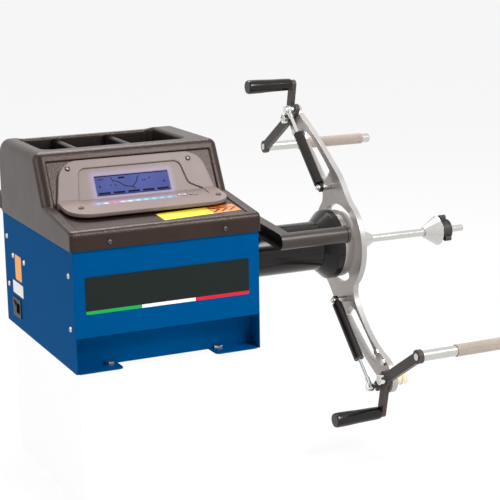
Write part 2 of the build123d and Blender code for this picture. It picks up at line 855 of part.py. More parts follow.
with BuildPart() as display_module:
    with BuildSketch(slope_plane(panel_recess)):
        with Locations((0, window_up)):
            Rectangle(display_module_width, display_module_height)
    extrude(amount=-display_module_depth)
save(display_module, "display_module")

with BuildPart() as control_board:
    with BuildSketch(slope_plane(panel_recess + display_module_depth)):
        with Locations((0, window_up)):
            Rectangle(board_width, board_height)
    extrude(amount=-board_sheet)
    with BuildSketch(slope_plane(panel_recess + display_module_depth + board_sheet)):
        with Locations((0, window_up)):
            with GridLocations(board_width / 4, board_height / 2, 4, 2):
                Rectangle(board_height / 4, board_height / 4)
    extrude(amount=-2 * board_sheet)
save(control_board, "control_board")

with BuildPart() as indicator_bar:
    with BuildSketch(deck_plane(-channel_lift)):
        with Locations((-lit_bar_offset, lit_bar_back)):
            Rectangle(lit_bar_width, lit_bar_depth)
    extrude(amount=-lit_bar_sink)
save(indicator_bar, "indicator_bar")

for name, place in zip(("button_enter", "button_select"), button_places):
    with BuildPart() as button:
        with BuildSketch(deck_plane(-channel_lift + button_pocket - button_travel - loose_fit)):
            with Locations(place):
                SlotOverall(button_width, button_depth)
        extrude(amount=button_height)
    save(button, name)

with BuildPart() as front_label:
    with BuildSketch(Plane.XZ.offset(-case_front)):
        with Locations((0, label_low + label_height / 2)):
            RectangleRounded(label_width, label_height, label_corner_radius)
    extrude(amount=label_sheet)
save(front_label, "front_label")

with BuildPart() as rear_bumper:
    with BuildSketch(Plane.XZ.offset(-cover_back - bumper_depth)):
        with Locations((-cover_half + bumper_width / 2, bumper_top - bumper_height / 2)):
            RectangleRounded(bumper_width, bumper_height, bumper_corner_radius)
    extrude(amount=bumper_depth + console_side_radius)
    fillet(rear_bumper.faces().sort_by(Axis.Y)[-1].edges(), bumper_corner_radius / 2)
    with BuildSketch(Plane.XY.offset(bumper_top - bumper_height)):
        RectangleRounded(2 * cover_half, 2 * cover_back, console_side_radius - bumper_relief)
    extrude(amount=bumper_height, mode=Mode.SUBTRACT)
save(rear_bumper, "rear_bumper")

# Mains inlet: socket towards the front, rocker towards the back

inlet_face = -case_width / 2 - inlet_flange
socket_y = inlet_centre_y - inlet_width / 2 + socket_margin + socket_width / 2
rocker_y = inlet_centre_y + inlet_width / 2 - socket_margin - rocker_width / 2
rocker_pivot_x = inlet_face + rocker_sink

with BuildPart() as mains_inlet:
    with BuildSketch(facing_x(inlet_face)):
        with Locations((inlet_centre_y, inlet_centre_z)):
            RectangleRounded(inlet_width + 2 * inlet_border, inlet_height + 2 * inlet_border, inlet_border)
    extrude(amount=inlet_flange)
    with BuildSketch(facing_x(-case_width / 2)):
        with Locations((inlet_centre_y, inlet_centre_z)):
            Rectangle(inlet_width, inlet_height)
    extrude(amount=inlet_depth)
    with BuildSketch(facing_x(inlet_face)):
        with Locations((socket_y, inlet_centre_z)):
            RectangleRounded(socket_width, socket_height, inlet_border)
    extrude(amount=socket_depth, mode=Mode.SUBTRACT)
    with BuildSketch(facing_x(inlet_face)):
        with Locations((rocker_y, inlet_centre_z)):
            Rectangle(rocker_width + 2 * loose_fit, rocker_height + 2 * rocker_slack)
    extrude(amount=rocker_pocket, mode=Mode.SUBTRACT)
    with BuildSketch(facing_x(inlet_face + socket_depth)):
        with Locations((socket_y, inlet_centre_z + socket_height / 4)):
            Rectangle(socket_pin, 2 * socket_pin)
        with Locations((socket_y, inlet_centre_z - socket_height / 4)):
            with GridLocations(socket_width / 2, 0, 2, 1):
                Rectangle(socket_pin, 2 * socket_pin)
    extrude(amount=-socket_pin_length)
    pin_reach = rocker_width / 2 + loose_fit + rocker_pin_length
    with BuildSketch(Plane(origin=(rocker_pivot_x, rocker_y, inlet_centre_z), z_dir=(0, 1, 0))):
        Circle(rocker_pin_radius + running_fit)
    extrude(amount=pin_reach, both=True, mode=Mode.SUBTRACT)
save(mains_inlet, "mains_inlet")

with BuildPart() as mains_switch:
    half = rocker_height / 2
    edge_out = rocker_sink + half * tan(radians(rocker_swing))
    tilt = radians(rocker_swing)
    out_of_panel = (-cos(tilt), 0, -sin(tilt))
    rocker_origin = (rocker_pivot_x, rocker_y, inlet_centre_z)
    with BuildSketch(Plane(origin=rocker_origin, x_dir=out_of_panel, z_dir=(0, 1, 0))):
        with BuildLine():
            Polyline((edge_out, half), (rocker_sink, 0), (edge_out, -half), (0, -half),
                     (-rocker_foot, -rocker_foot), (-rocker_foot, rocker_foot), (0, half), close=True)
        make_face()
    extrude(amount=rocker_width / 2, both=True)
    with BuildSketch(Plane(origin=(rocker_pivot_x, rocker_y, inlet_centre_z), z_dir=(0, 1, 0))):
        Circle(rocker_pin_radius)
    extrude(amount=rocker_width / 2 + rocker_pin_length, both=True)
save(mains_switch, "mains_switch")

with BuildPart() as power_supply:
    supply_middle = (supply_screw_front + supply_screw_back) / 2
    supply_depth = supply_screw_back - supply_screw_front + supply_height / 2
    with BuildSketch(facing_x(-frame_width / 2)):
        with Locations((supply_middle, supply_screw_height)):
            Rectangle(supply_depth, supply_height)
    extrude(amount=supply_width)
    with BuildSketch(facing_x(-frame_width / 2)):
        with Locations(*supply_screws):
            Circle(pan_shank_radius + hole_fit)
    extrude(amount=pan_shank_length, mode=Mode.SUBTRACT)
save(power_supply, "power_supply")

# Spindle train

with BuildPart() as spindle_housing:
    housing_length = housing_front - housing_back
    disc_between(spindle_plane(housing_back), housing_radius, housing_length)
    bore_between(spindle_plane(housing_back), housing_bore, housing_length)
    bore_between(spindle_plane(housing_back), bearing_radius, bearing_width)
    bore_between(spindle_plane(housing_front), bearing_radius, -bearing_width)
save(spindle_housing, "spindle_housing")

with BuildPart() as bearings:
    for station in (housing_back, housing_front - bearing_width):
        with BuildSketch(spindle_plane(station)):
            Circle(bearing_radius)
            Circle(shaft_radius + running_fit, mode=Mode.SUBTRACT)
        extrude(amount=bearing_width)
save(bearings, "bearings")

ledge_back = housing_radius + sensor_length
ledge_front = ledge_back + sensor_ledge_sheet
saddle_radius = housing_radius + pedestal_rim
pedestal_length = pedestal_front - pedestal_back
sensor_middle = (pedestal_back + pedestal_front) / 2

with BuildPart() as spindle_pedestal:
    for station in (pedestal_back, pedestal_front - pedestal_sheet):
        with BuildSketch(facing_x(station)):
            with Locations(((saddle_radius - ledge_front) / 2, (sheet + spindle_height) / 2)):
                Rectangle(saddle_radius + ledge_front, spindle_height - sheet)
            with Locations((0, spindle_height)):
                Circle(saddle_radius)
        extrude(amount=pedestal_sheet)
    with BuildSketch(facing_x(pedestal_back)):
        with Locations(((saddle_radius - ledge_front) / 2, sheet + pedestal_foot / 2)):
            Rectangle(saddle_radius + ledge_front, pedestal_foot)
        with Locations((-(ledge_front + ledge_back) / 2, (sheet + sensor_ledge_top) / 2)):
            Rectangle(sensor_ledge_sheet, sensor_ledge_top - sheet)
    extrude(amount=pedestal_length)
    bore_between(spindle_plane(pedestal_back), housing_radius, pedestal_length)
save(spindle_pedestal, "spindle_pedestal")

with BuildPart() as force_sensors:
    for way in (-1, 1):
        sensor_x = sensor_middle + way * sensor_pitch / 2
        seat = Plane(origin=(sensor_x, -ledge_back, spindle_height), z_dir=(0, 1, 0))
        disc_between(seat, sensor_radius, 2 * sensor_length)
    bore_between(spindle_plane(pedestal_back), housing_radius, pedestal_length)
save(force_sensors, "force_sensors")

with BuildPart() as spindle_shaft:
    disc_between(spindle_plane(shaft_back), shaft_radius, plate_back - shaft_back)
save(spindle_shaft, "spindle_shaft")

with BuildPart() as flange_hub:
    hub_back = housing_front + hub_gap
    cone_front = hub_back + hub_cone_length
    with BuildSketch(Plane.XZ):
        with BuildLine():
            Polyline((hub_back, spindle_height + shaft_radius), (hub_back, spindle_height + housing_radius),
                     (cone_front, spindle_height + hub_radius), (hub_front, spindle_height + hub_radius),
                     (hub_front, spindle_height + shaft_radius), close=True)
        make_face()
    revolve(axis=Axis((0, 0, spindle_height), (1, 0, 0)))
save(flange_hub, "flange_hub")

with BuildPart() as machined_flange:
    disc_between(spindle_plane(hub_front), flange_radius, plate_back - hub_front)
    bore_between(spindle_plane(hub_front), shaft_radius, plate_back - hub_front)
save(machined_flange, "machined_flange")

with BuildPart() as centring_shaft:
    disc_between(spindle_plane(plate_back), centring_radius, centring_length)
    disc_between(spindle_plane(plate_back + centring_length), pilot_radius, pilot_length)
    chamfer(centring_shaft.edges().sort_by(Axis.X)[-1], centring_radius - pilot_radius)
save(centring_shaft, "centring_shaft")

lip_width = (pulley_width - belt_width) / 2 - loose_fit


def grooved_pulley(x, y, z, radius):
    """Adds a belt pulley with a lip on each side of its groove."""
    place = facing_x(x, y, z)
    disc_between(place, radius, pulley_width)
    disc_between(place, radius + pulley_lip, lip_width)
    disc_between(place.offset(pulley_width - lip_width), radius + pulley_lip, lip_width)


with BuildPart() as driven_pulley:
    grooved_pulley(pulley_station, 0, spindle_height, driven_pulley_radius)
    bore_between(facing_x(pulley_station, 0, spindle_height), shaft_radius, pulley_width)
save(driven_pulley, "driven_pulley")

motor_back = pulley_station + pulley_width + motor_pulley_gap
with BuildPart() as motor:
    disc_between(facing_x(motor_back, motor_y, motor_z), motor_radius, motor_length)
    with BuildSketch(facing_x(motor_back + motor_foot_inset)):
        with Locations((motor_y, (motor_z + sheet) / 2)):
            Rectangle(motor_foot_width, motor_z - sheet)
    extrude(amount=motor_length - 2 * motor_foot_inset)
    bore_between(facing_x(motor_back, motor_y, motor_z), motor_shaft_radius + running_fit, motor_length / 2)
save(motor, "motor")

with BuildPart() as motor_pulley:
    grooved_pulley(pulley_station, motor_y, motor_z, motor_pulley_radius)
    disc_between(facing_x(pulley_station, motor_y, motor_z), motor_shaft_radius,
                 motor_back - pulley_station + motor_length / 2 - loose_fit)
save(motor_pulley, "motor_pulley")


def belt_outline(grow):
    """The belt's loop round both pulleys, as one face, grown outward."""
    big = driven_pulley_radius + loose_fit + grow
    small = motor_pulley_radius + loose_fit + grow
    apart = hypot(motor_y, motor_z - spindle_height)
    lean = atan2(motor_z - spindle_height, motor_y)
    open_angle = acos((big - small) / apart)
    corners = []
    for way in (1, -1):
        turn = lean + way * open_angle
        corners.append((big * cos(turn), spindle_height + big * sin(turn)))
        corners.append((motor_y + small * cos(turn), motor_z + small * sin(turn)))
    with Locations((0, spindle_height)):
        Circle(big)
    with Locations((motor_y, motor_z)):
        Circle(small)
    Polygon(corners[0], corners[1], corners[3], corners[2], align=None)


with BuildPart() as drive_belt:
    belt_place = facing_x(pulley_station + lip_width + loose_fit)
    with BuildSketch(belt_place) as outer:
        belt_outline(belt_sheet)
    extrude(amount=belt_width)
    with BuildSketch(belt_place) as inner:
        belt_outline(0)
    extrude(amount=belt_width, mode=Mode.SUBTRACT)
save(drive_belt, "drive_belt")

with BuildPart() as encoder_disc:
    disc_between(spindle_plane(encoder_station), encoder_radius, encoder_sheet)
    disc_between(spindle_plane(encoder_station - encoder_hub), shaft_radius + encoder_hub / 2, encoder_hub)
    with BuildSketch(spindle_plane(encoder_station)):
        with PolarLocations(encoder_radius - encoder_slot_length, encoder_slots):
            Rectangle(encoder_slot_length, encoder_sheet)
    extrude(amount=encoder_sheet, mode=Mode.SUBTRACT)
    bore_between(spindle_plane(encoder_station - encoder_hub), shaft_radius, encoder_hub + encoder_sheet)
save(encoder_disc, "encoder_disc")

with BuildPart() as encoder_sensor:
    sensor_low = spindle_height + bearing_radius
    sensor_reach = housing_back - encoder_station + encoder_hub
    with BuildSketch(facing_x(housing_back)):
        with Locations((0, sensor_low + encoder_sensor_height / 2)):
            Rectangle(encoder_sensor_width, encoder_sensor_height)
    extrude(amount=-sensor_reach)
    with BuildSketch(facing_x(encoder_station + encoder_sheet / 2)):
        with Locations((0, sensor_low)):
            Rectangle(encoder_sensor_width, 2 * (encoder_radius - bearing_radius + encoder_sheet))
    extrude(amount=encoder_sheet + encoder_sheet / 2, both=True, mode=Mode.SUBTRACT)
save(encoder_sensor, "encoder_sensor")

# Adapter plate, in a plane turned along each arm

pivot_reach = hypot(pivot_y, pivot_z)
crank_back = plate_back - crank_gap - crank_sheet
plate_front = plate_back + plate_sheet
strut_station = crank_back - crank_gap - strut_clearance
eye_back = strut_station - eye_width / 2
eye_front = strut_station + eye_width / 2
strut_head = (pivot_y + strut_head_y, pivot_z + strut_head_z)


def along_arm(shares):
    """Points along and across an arm, from shares of the pivot's reach."""
    return [(along * pivot_reach, across * pivot_reach) for along, across in shares]


front_edge = along_arm(front_edge_shares)
rear_edge = along_arm(rear_edge_shares)
arm_tip = along_arm(arm_tip_shares)[0]
window = along_arm(window_shares)
arm_bolts = along_arm(arm_bolt_shares)

crescent_end = crescent_start + crescent_sweep
crescent = Edge.make_circle(crescent_radius, start_angle=crescent_start, end_angle=crescent_end)

with BuildPart() as adapter_plate:
    disc_between(spindle_plane(plate_back), disc_radius, plate_sheet)
    for name, turn in arms:
        with BuildSketch(spindle_plane(plate_back, arm_tilt + turn)):
            with BuildLine():
                Spline(*front_edge)
                ThreePointArc(front_edge[-1], arm_tip, rear_edge[0])
                Spline(*rear_edge)
                Polyline(rear_edge[-1], (0, 0), front_edge[0])
            make_face()
        extrude(amount=plate_sheet)
    for name, turn in arms:
        with BuildSketch(spindle_plane(plate_back, arm_tilt + turn)) as cuts:
            with BuildLine():
                Polyline(*window, close=True)
            make_face()
            fillet(cuts.vertices(), window_corner_radius)
            with Locations(*arm_bolts):
                Circle(arm_bolt_radius)
            SlotArc(crescent, crescent_width)
        extrude(amount=plate_sheet, mode=Mode.SUBTRACT)
        bore_between(spindle_plane(plate_back, turn, strut_foot_y, strut_foot_z), stud_radius, plate_sheet)
        pivot = spindle_plane(plate_front, turn, pivot_y, pivot_z)
        bore_between(pivot, pivot_radius, -plate_sheet)
        bore_between(pivot, pivot_head_radius, -pivot_head_height)
    with BuildSketch(spindle_plane(plate_back)):
        Circle(centring_radius)
        with PolarLocations(plate_screw_circle, plate_screw_count):
            Circle(plate_screw_radius)
    extrude(amount=plate_sheet, mode=Mode.SUBTRACT)
save(adapter_plate, "adapter_plate")

with BuildPart() as plate_screws:
    with BuildSketch(spindle_plane(plate_front)):
        with PolarLocations(plate_screw_circle, plate_screw_count):
            Circle(plate_screw_head)
    extrude(amount=plate_screw_head_height)
    with BuildSketch(spindle_plane(plate_back)):
        with PolarLocations(plate_screw_circle, plate_screw_count):
            Circle(plate_screw_radius)
    extrude(amount=plate_sheet)
    for name, turn in arms:
        with BuildSketch(spindle_plane(plate_back, arm_tilt + turn)):
            with Locations(*arm_bolts):
                Circle(arm_bolt_radius)
        extrude(amount=plate_sheet)
        with BuildSketch(spindle_plane(plate_back, arm_tilt + turn)):
            with Locations(*arm_bolts):
                RegularPolygon(arm_bolt_head, 6)
        extrude(amount=-arm_bolt_head_height)
save(plate_screws, "plate_screws")

with BuildPart() as strut_studs:
    for name, turn in arms:
        foot = spindle_plane(plate_back, turn, strut_foot_y, strut_foot_z)
        spacer_length = plate_back - eye_front - running_fit
        disc_between(foot.offset(-spacer_length), spacer_radius, spacer_length)
        disc_between(foot.offset(plate_sheet), stud_radius, -(plate_front - eye_back + stud_tip))
        disc_between(foot.offset(eye_back - running_fit - plate_back), stud_cap_radius, -stud_cap_height)
save(strut_studs, "strut_studs")

with BuildPart() as pivot_bolts:
    for name, turn in arms:
        pivot = spindle_plane(plate_front, turn, pivot_y, pivot_z)
        disc_between(pivot, pivot_head_radius, -pivot_head_height)
        bolt_length = plate_front - crank_back + loose_fit + pivot_nut_height - bolt_end_sink
        disc_between(pivot, pivot_radius, -bolt_length)
save(pivot_bolts, "pivot_bolts")

with BuildPart() as pivot_nuts:
    for name, turn in arms:
        pivot = spindle_plane(crank_back - loose_fit, turn, pivot_y, pivot_z)
        with BuildSketch(pivot):
            Circle(pivot_nut_radius)
            Circle(pivot_radius, mode=Mode.SUBTRACT)
        extrude(amount=-pivot_nut_height)
save(pivot_nuts, "pivot_nuts")

with BuildPart() as pivot_drum_lower:
    drum = spindle_plane(plate_front, arms[1][1], pivot_y, pivot_z)
    disc_between(drum, drum_radius, drum_rear)
    disc_between(drum.offset(drum_rear), drum_ring_radius, drum_ring)
save(pivot_drum_lower, "pivot_drum_lower")

# Struts: each plane's origin is the foot, its local x points at the head

strut_length = hypot(strut_head[0] - strut_foot_y, strut_head[1] - strut_foot_z)
strut_turn = degrees(atan2(strut_head[1] - strut_foot_z, strut_head[0] - strut_foot_y))
tube_end = strut_neck + strut_tube_length


def strut_frame(turn):
    """A plane square to the spindle at a strut's foot, with local x along the strut."""
    foot = spindle_plane(strut_station, turn, strut_foot_y, strut_foot_z)
    lean = radians(turn + strut_turn)
    return Plane(origin=foot.origin, x_dir=(0, cos(lean), sin(lean)), z_dir=(1, 0, 0))


def along_strut(turn, start):
    """A plane square to a strut, at a distance from its foot."""
    frame = strut_frame(turn)
    return Plane(origin=frame.from_local_coords((start, 0, 0)), x_dir=frame.y_dir, z_dir=frame.x_dir)


def strut_eye(turn, start, radius):
    """Adds a flat round eye on a strut's line."""
    frame = strut_frame(turn)
    origin = frame.from_local_coords((start, 0, -eye_width / 2))
    place = Plane(origin=origin, x_dir=frame.x_dir, z_dir=frame.z_dir)
    disc_between(place, radius, eye_width)
    return place


for name, turn in arms:
    with BuildPart() as strut_body:
        neck_start = spacer_radius + 2 * loose_fit
        disc_between(along_strut(turn, neck_start), stud_radius, strut_neck - neck_start)
        eye = strut_eye(turn, 0, eye_radius)
        disc_between(along_strut(turn, strut_neck), strut_tube_radius, strut_tube_length)
        bore_between(along_strut(turn, strut_neck + strut_wall), strut_tube_radius - strut_wall,
                     strut_tube_length - 2 * strut_wall)
        bore_between(along_strut(turn, tube_end - strut_wall), strut_rod_radius + running_fit, strut_wall)
        bore_between(eye, stud_radius + running_fit, eye_width)
    save(strut_body, "strut_body_" + name)
    with BuildPart() as strut_rod:
        disc_between(along_strut(turn, strut_rod_start), strut_rod_radius, strut_length - strut_rod_start)
        collar_end = strut_length - rod_collar_gap
        disc_between(along_strut(turn, collar_end - rod_collar_length), rod_collar_radius, rod_collar_length)
        eye = strut_eye(turn, strut_length, eye_radius)
        disc_between(eye.offset(eye_width), head_pin_radius, crank_back - loose_fit - eye_front)
        disc_between(eye, head_cap_radius, -head_cap_height)
    save(strut_rod, "strut_rod_" + name)

# Cranks with their driving bars and hand grips

bar_place = (pivot_y + bar_y, pivot_z + bar_z)
grip_place = (pivot_y + grip_y, pivot_z + grip_z)


def strap(from_place, to_place, width):
    """Adds to a sketch a straight strap with round ends."""
    run = (to_place[0] - from_place[0], to_place[1] - from_place[1])
    middle = ((from_place[0] + to_place[0]) / 2, (from_place[1] + to_place[1]) / 2)
    with Locations(Location(middle, degrees(atan2(run[1], run[0])))):
        SlotOverall(hypot(*run) + width, width)


for name, turn in arms:
    with BuildPart() as crank:
        pivot = spindle_plane(crank_back, turn, pivot_y, pivot_z)
        with BuildSketch(pivot):
            strap((0, 0), (bar_y, bar_z), link_width)
            strap((0, 0), (grip_y, grip_z), crank_arm_width)
            strap((0, 0), (strut_head_y, strut_head_z), 2 * lug_radius)
            Circle(pivot_boss_radius)
            with Locations((bar_y, bar_z)):
                Circle(bar_boss_radius)
                Circle(bar_end_radius, mode=Mode.SUBTRACT)
            Circle(pivot_radius + running_fit, mode=Mode.SUBTRACT)
        extrude(amount=crank_sheet)
        grip = spindle_plane(crank_back, turn, *grip_place)
        mouth = grip_length - grip_mouth_depth
        disc_between(grip, axle_radius, -(mouth + 2 * loose_fit + axle_head_height))
        disc_between(grip.offset(-mouth - 2 * loose_fit), axle_head_radius, -axle_head_height)
    save(crank, "crank_" + name)

    with BuildPart() as drive_bar:
        bar = spindle_plane(plate_back - crank_gap, turn, *bar_place)
        disc_between(bar, bar_radius, bar_length)
        chamfer(drive_bar.edges().sort_by(Axis.X)[-1], bar_end_proud)
        disc_between(bar, bar_end_radius, -(crank_sheet + bar_end_proud))
    save(drive_bar, "drive_bar_" + name)

    with BuildPart() as bar_sleeve:
        with BuildSketch(bar.offset(sleeve_start)):
            Circle(sleeve_radius)
            Circle(bar_radius, mode=Mode.SUBTRACT)
        extrude(amount=sleeve_length)
    save(bar_sleeve, "bar_sleeve_" + name)

    with BuildPart() as hand_grip:
        place = grip.offset(-loose_fit)
        side = Plane(origin=place.origin, x_dir=(-1, 0, 0), z_dir=place.y_dir)
        with BuildSketch(side):
            with BuildLine():
                waist = grip_length * grip_waist_share
                Spline((0, grip_neck_radius), (waist, grip_waist_radius), (grip_length, grip_tip_radius))
                Polyline((grip_length, grip_tip_radius), (grip_length, grip_mouth_radius),
                         (mouth, grip_mouth_radius), (mouth, grip_bore), (0, grip_bore),
                         (0, grip_neck_radius))
            make_face()
        revolve(axis=Axis(place.origin, (1, 0, 0)))
    save(hand_grip, "hand_grip_" + name)

# Cones and quick nut

spindle_axis = Axis((0, 0, spindle_height), (1, 0, 0))


def centring_cone(back, back_radius, front, front_radius, bore):
    """Adds a bored cone on the spindle's axis, after any collar."""
    with BuildSketch(Plane.XZ) as section:
        with BuildLine():
            Polyline((back, spindle_height + bore), (back, spindle_height + back_radius),
                     (front, spindle_height + front_radius), (front, spindle_height + bore), close=True)
        make_face()
    revolve(section.sketch, axis=spindle_axis)


cone_back = plate_front + rear_cone_collar
with BuildPart() as rear_cone:
    centring_cone(plate_front, collar_radius, cone_back, collar_radius, centring_radius)
    centring_cone(cone_back, cone_base_radius, cone_back + rear_cone_length, cone_tip_radius, centring_radius)
save(rear_cone, "rear_cone")

nut_bore = centring_radius + running_fit
nut_back = front_cone_station + front_cone_length
with BuildPart() as front_cone:
    centring_cone(front_cone_station, cone_tip_radius, nut_back, cone_base_radius, nut_bore)
save(front_cone, "front_cone")

with BuildPart() as quick_nut:
    with BuildSketch(spindle_plane(nut_back)):
        Circle(quick_nut_radius)
        Circle(nut_bore, mode=Mode.SUBTRACT)
    extrude(amount=quick_nut_length)
    with BuildSketch(spindle_plane(nut_back + quick_nut_length / 4)):
        with PolarLocations(quick_nut_radius, quick_nut_wings, start_angle=90):
            SlotOverall(quick_nut_radius, quick_nut_radius / 2)
        Circle(quick_nut_radius, mode=Mode.SUBTRACT)
    extrude(amount=quick_nut_length / 2)
save(quick_nut, "quick_nut")

# Measuring gauge

arm_front = gauge_left + gauge_arm_width
gauge_end = gauge_left + gauge_tube_length

with BuildPart() as gauge_bush:
    bush_place = facing_x(case_width / 2, gauge_rod_y, gauge_rod_z)
    disc_between(bush_place, bush_flange_radius, bush_flange)
    disc_between(bush_place, bush_radius, -bush_length)
    bore_between(bush_place.offset(-bush_length), gauge_rod_radius + running_fit, bush_length + bush_flange)
save(gauge_bush, "gauge_bush")

with BuildPart() as gauge_rod:
    rod_end = arm_front + loose_fit + 2 * gauge_collar_length
    rod_start = facing_x(gauge_rod_back, gauge_rod_y, gauge_rod_z)
    disc_between(rod_start, gauge_rod_radius, rod_end - gauge_rod_back)
    for station in (gauge_left - loose_fit - gauge_collar_length, arm_front + loose_fit):
        disc_between(facing_x(station, gauge_rod_y, gauge_rod_z), gauge_collar_radius, gauge_collar_length)
save(gauge_rod, "gauge_rod")


def gauge_outline(inset):
    """The gauge arm's side view, drawn in by inset: two round ends joined by their common tangents."""
    with BuildSketch(facing_x(gauge_left)) as outline:
        with Locations((gauge_rod_y, gauge_rod_z)):
            Circle(gauge_rod_end_radius - inset)
        with Locations((gauge_tip_y, gauge_tip_z)):
            Circle(gauge_tube_radius - inset)
        make_hull()
    return outline.sketch


with BuildPart() as gauge_arm:
    extrude(gauge_outline(0), amount=gauge_arm_width)
    extrude(gauge_outline(gauge_sheet), amount=gauge_arm_width - gauge_sheet, mode=Mode.SUBTRACT)
    rod_place = facing_x(gauge_left, gauge_rod_y, gauge_rod_z)
    disc_between(rod_place, gauge_hub_radius, gauge_arm_width)
    bore_between(rod_place, gauge_rod_radius + running_fit, gauge_arm_width)
save(gauge_arm, "gauge_arm")

with BuildPart() as gauge_tube:
    with BuildSketch(facing_x(arm_front)):
        with Locations((gauge_tip_y, gauge_tip_z)):
            Circle(gauge_tube_radius)
            Circle(gauge_tube_radius - gauge_tube_wall, mode=Mode.SUBTRACT)
    extrude(amount=gauge_end - arm_front)
save(gauge_tube, "gauge_tube")

with BuildPart() as gauge_cap:
    cap_place = facing_x(gauge_end, gauge_tip_y, gauge_tip_z)
    disc_between(cap_place, gauge_cap_radius, gauge_cap_length)
    disc_between(cap_place, gauge_tube_radius - gauge_tube_wall, -gauge_cap_plug)
save(gauge_cap, "gauge_cap")
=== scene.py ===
import bmesh
import bpy
from math import atan2, cos, pi, radians, sin
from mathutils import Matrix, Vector


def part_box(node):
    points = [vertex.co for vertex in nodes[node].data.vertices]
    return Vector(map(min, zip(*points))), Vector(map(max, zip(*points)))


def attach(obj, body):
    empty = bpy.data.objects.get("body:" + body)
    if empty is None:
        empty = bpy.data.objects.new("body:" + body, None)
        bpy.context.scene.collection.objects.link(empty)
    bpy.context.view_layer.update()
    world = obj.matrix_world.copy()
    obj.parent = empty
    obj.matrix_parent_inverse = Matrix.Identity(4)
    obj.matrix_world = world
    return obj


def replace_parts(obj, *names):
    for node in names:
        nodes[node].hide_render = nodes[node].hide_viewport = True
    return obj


# Looks of a bench wheel balancer. Metres, in the CAD's frame:
# +X along the spindle to its free end, -Y the operator's side, +Z up.

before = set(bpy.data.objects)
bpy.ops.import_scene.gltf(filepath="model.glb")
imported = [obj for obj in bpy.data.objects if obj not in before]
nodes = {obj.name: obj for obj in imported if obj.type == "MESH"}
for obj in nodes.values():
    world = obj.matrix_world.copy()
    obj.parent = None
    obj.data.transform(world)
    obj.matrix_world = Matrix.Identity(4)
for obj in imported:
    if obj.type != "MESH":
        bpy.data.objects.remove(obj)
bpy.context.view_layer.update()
mm = 0.001


# Colours and shader nodes

def srgb(code):
    """Linear colour from a six-digit sRGB code."""
    parts = [int(code[i:i + 2], 16) / 255 for i in (0, 2, 4)]
    linear = [p / 12.92 if p <= 0.04045 else ((p + 0.055) / 1.055) ** 2.4 for p in parts]
    return (*linear, 1.0)


def put(tree, kind, links=None, **settings):
    """Adds a node. Settings name its properties or its inputs; links give an input a source socket."""
    node = tree.nodes.new(kind)
    for key, value in settings.items():
        if hasattr(node, key):
            setattr(node, key, value)
    for key, value in settings.items():
        if not hasattr(node, key):
            name = key.replace("_", " ")
            found = [s for s in node.inputs if s.name == name and s.enabled] or [node.inputs[name]]
            found[0].default_value = value
    for key, source in (links or {}).items():
        if isinstance(key, int):
            target = node.inputs[key]
        else:
            target = ([s for s in node.inputs if s.name == key and s.enabled] or [node.inputs[key]])[0]
        tree.links.new(source, target)
    return node


def ramp(tree, source, stops, interpolation="LINEAR"):
    """A colour ramp over (position, value) stops, where a value is a grey level or a colour."""
    node = put(tree, "ShaderNodeValToRGB", {"Fac": source})
    band = node.color_ramp
    band.interpolation = interpolation
    while len(band.elements) < len(stops):
        band.elements.new(0.5)
    for element, (place, value) in zip(band.elements, stops):
        element.position = place
        element.color = value if isinstance(value, tuple) else (value, value, value, 1.0)
    return node.outputs["Color"]


def calc(tree, operation, *values):
    """The result of one Math node, where each operand is a number or a source socket."""
    node = put(tree, "ShaderNodeMath", operation=operation)
    for socket, value in zip(node.inputs, values):
        if isinstance(value, (int, float)):
            socket.default_value = value
        else:
            tree.links.new(value, socket)
    return node.outputs["Value"]


def object_spot(tree):
    """A place on the object, split into its three coordinates in metres."""
    place = put(tree, "ShaderNodeTexCoord").outputs["Object"]
    return put(tree, "ShaderNodeSeparateXYZ", {"Vector": place})


def axis_distance(tree, spot, axis, low, high):
    """How far a place lies outside a span along one axis, in metres; zero inside the span."""
    below = calc(tree, "SUBTRACT", low, spot.outputs[axis])
    above = calc(tree, "SUBTRACT", spot.outputs[axis], high)
    return calc(tree, "MAXIMUM", calc(tree, "MAXIMUM", below, above), 0.0)


def box_distances(tree, spot, low, high):
    """How far a place lies outside a box along X, Y and Z, from the box's two corners."""
    return [axis_distance(tree, spot, axis, low[i], high[i]) for i, axis in enumerate("XYZ")]


def blend_colours(tree, share, first, second):
    """A mix of two colours, each a value or a source socket, by a share from another socket."""
    mix = put(tree, "ShaderNodeMix", {"Factor": share}, data_type="RGBA")
    for socket, colour in zip([s for s in mix.inputs if s.type == "RGBA"], (first, second)):
        if isinstance(colour, tuple):
            socket.default_value = colour
        else:
            tree.links.new(colour, socket)
    return [s for s in mix.outputs if s.type == "RGBA"][0]


# Settings that every finish shares: clouds per metre, where a mix starts and ends, and relief sizes
cloud_scale = 22.0
mottle_band = (0.35, 0.65)
bevel_samples = 6
worn_band = (0.90, 0.995)
side_face_band = (0.4, 0.7)
painted_shade_fade = 6 * mm
grain_strength = 1.0
streak_strength = 0.5
streak_stretch = 3.0
streak_height = 0.03 * mm


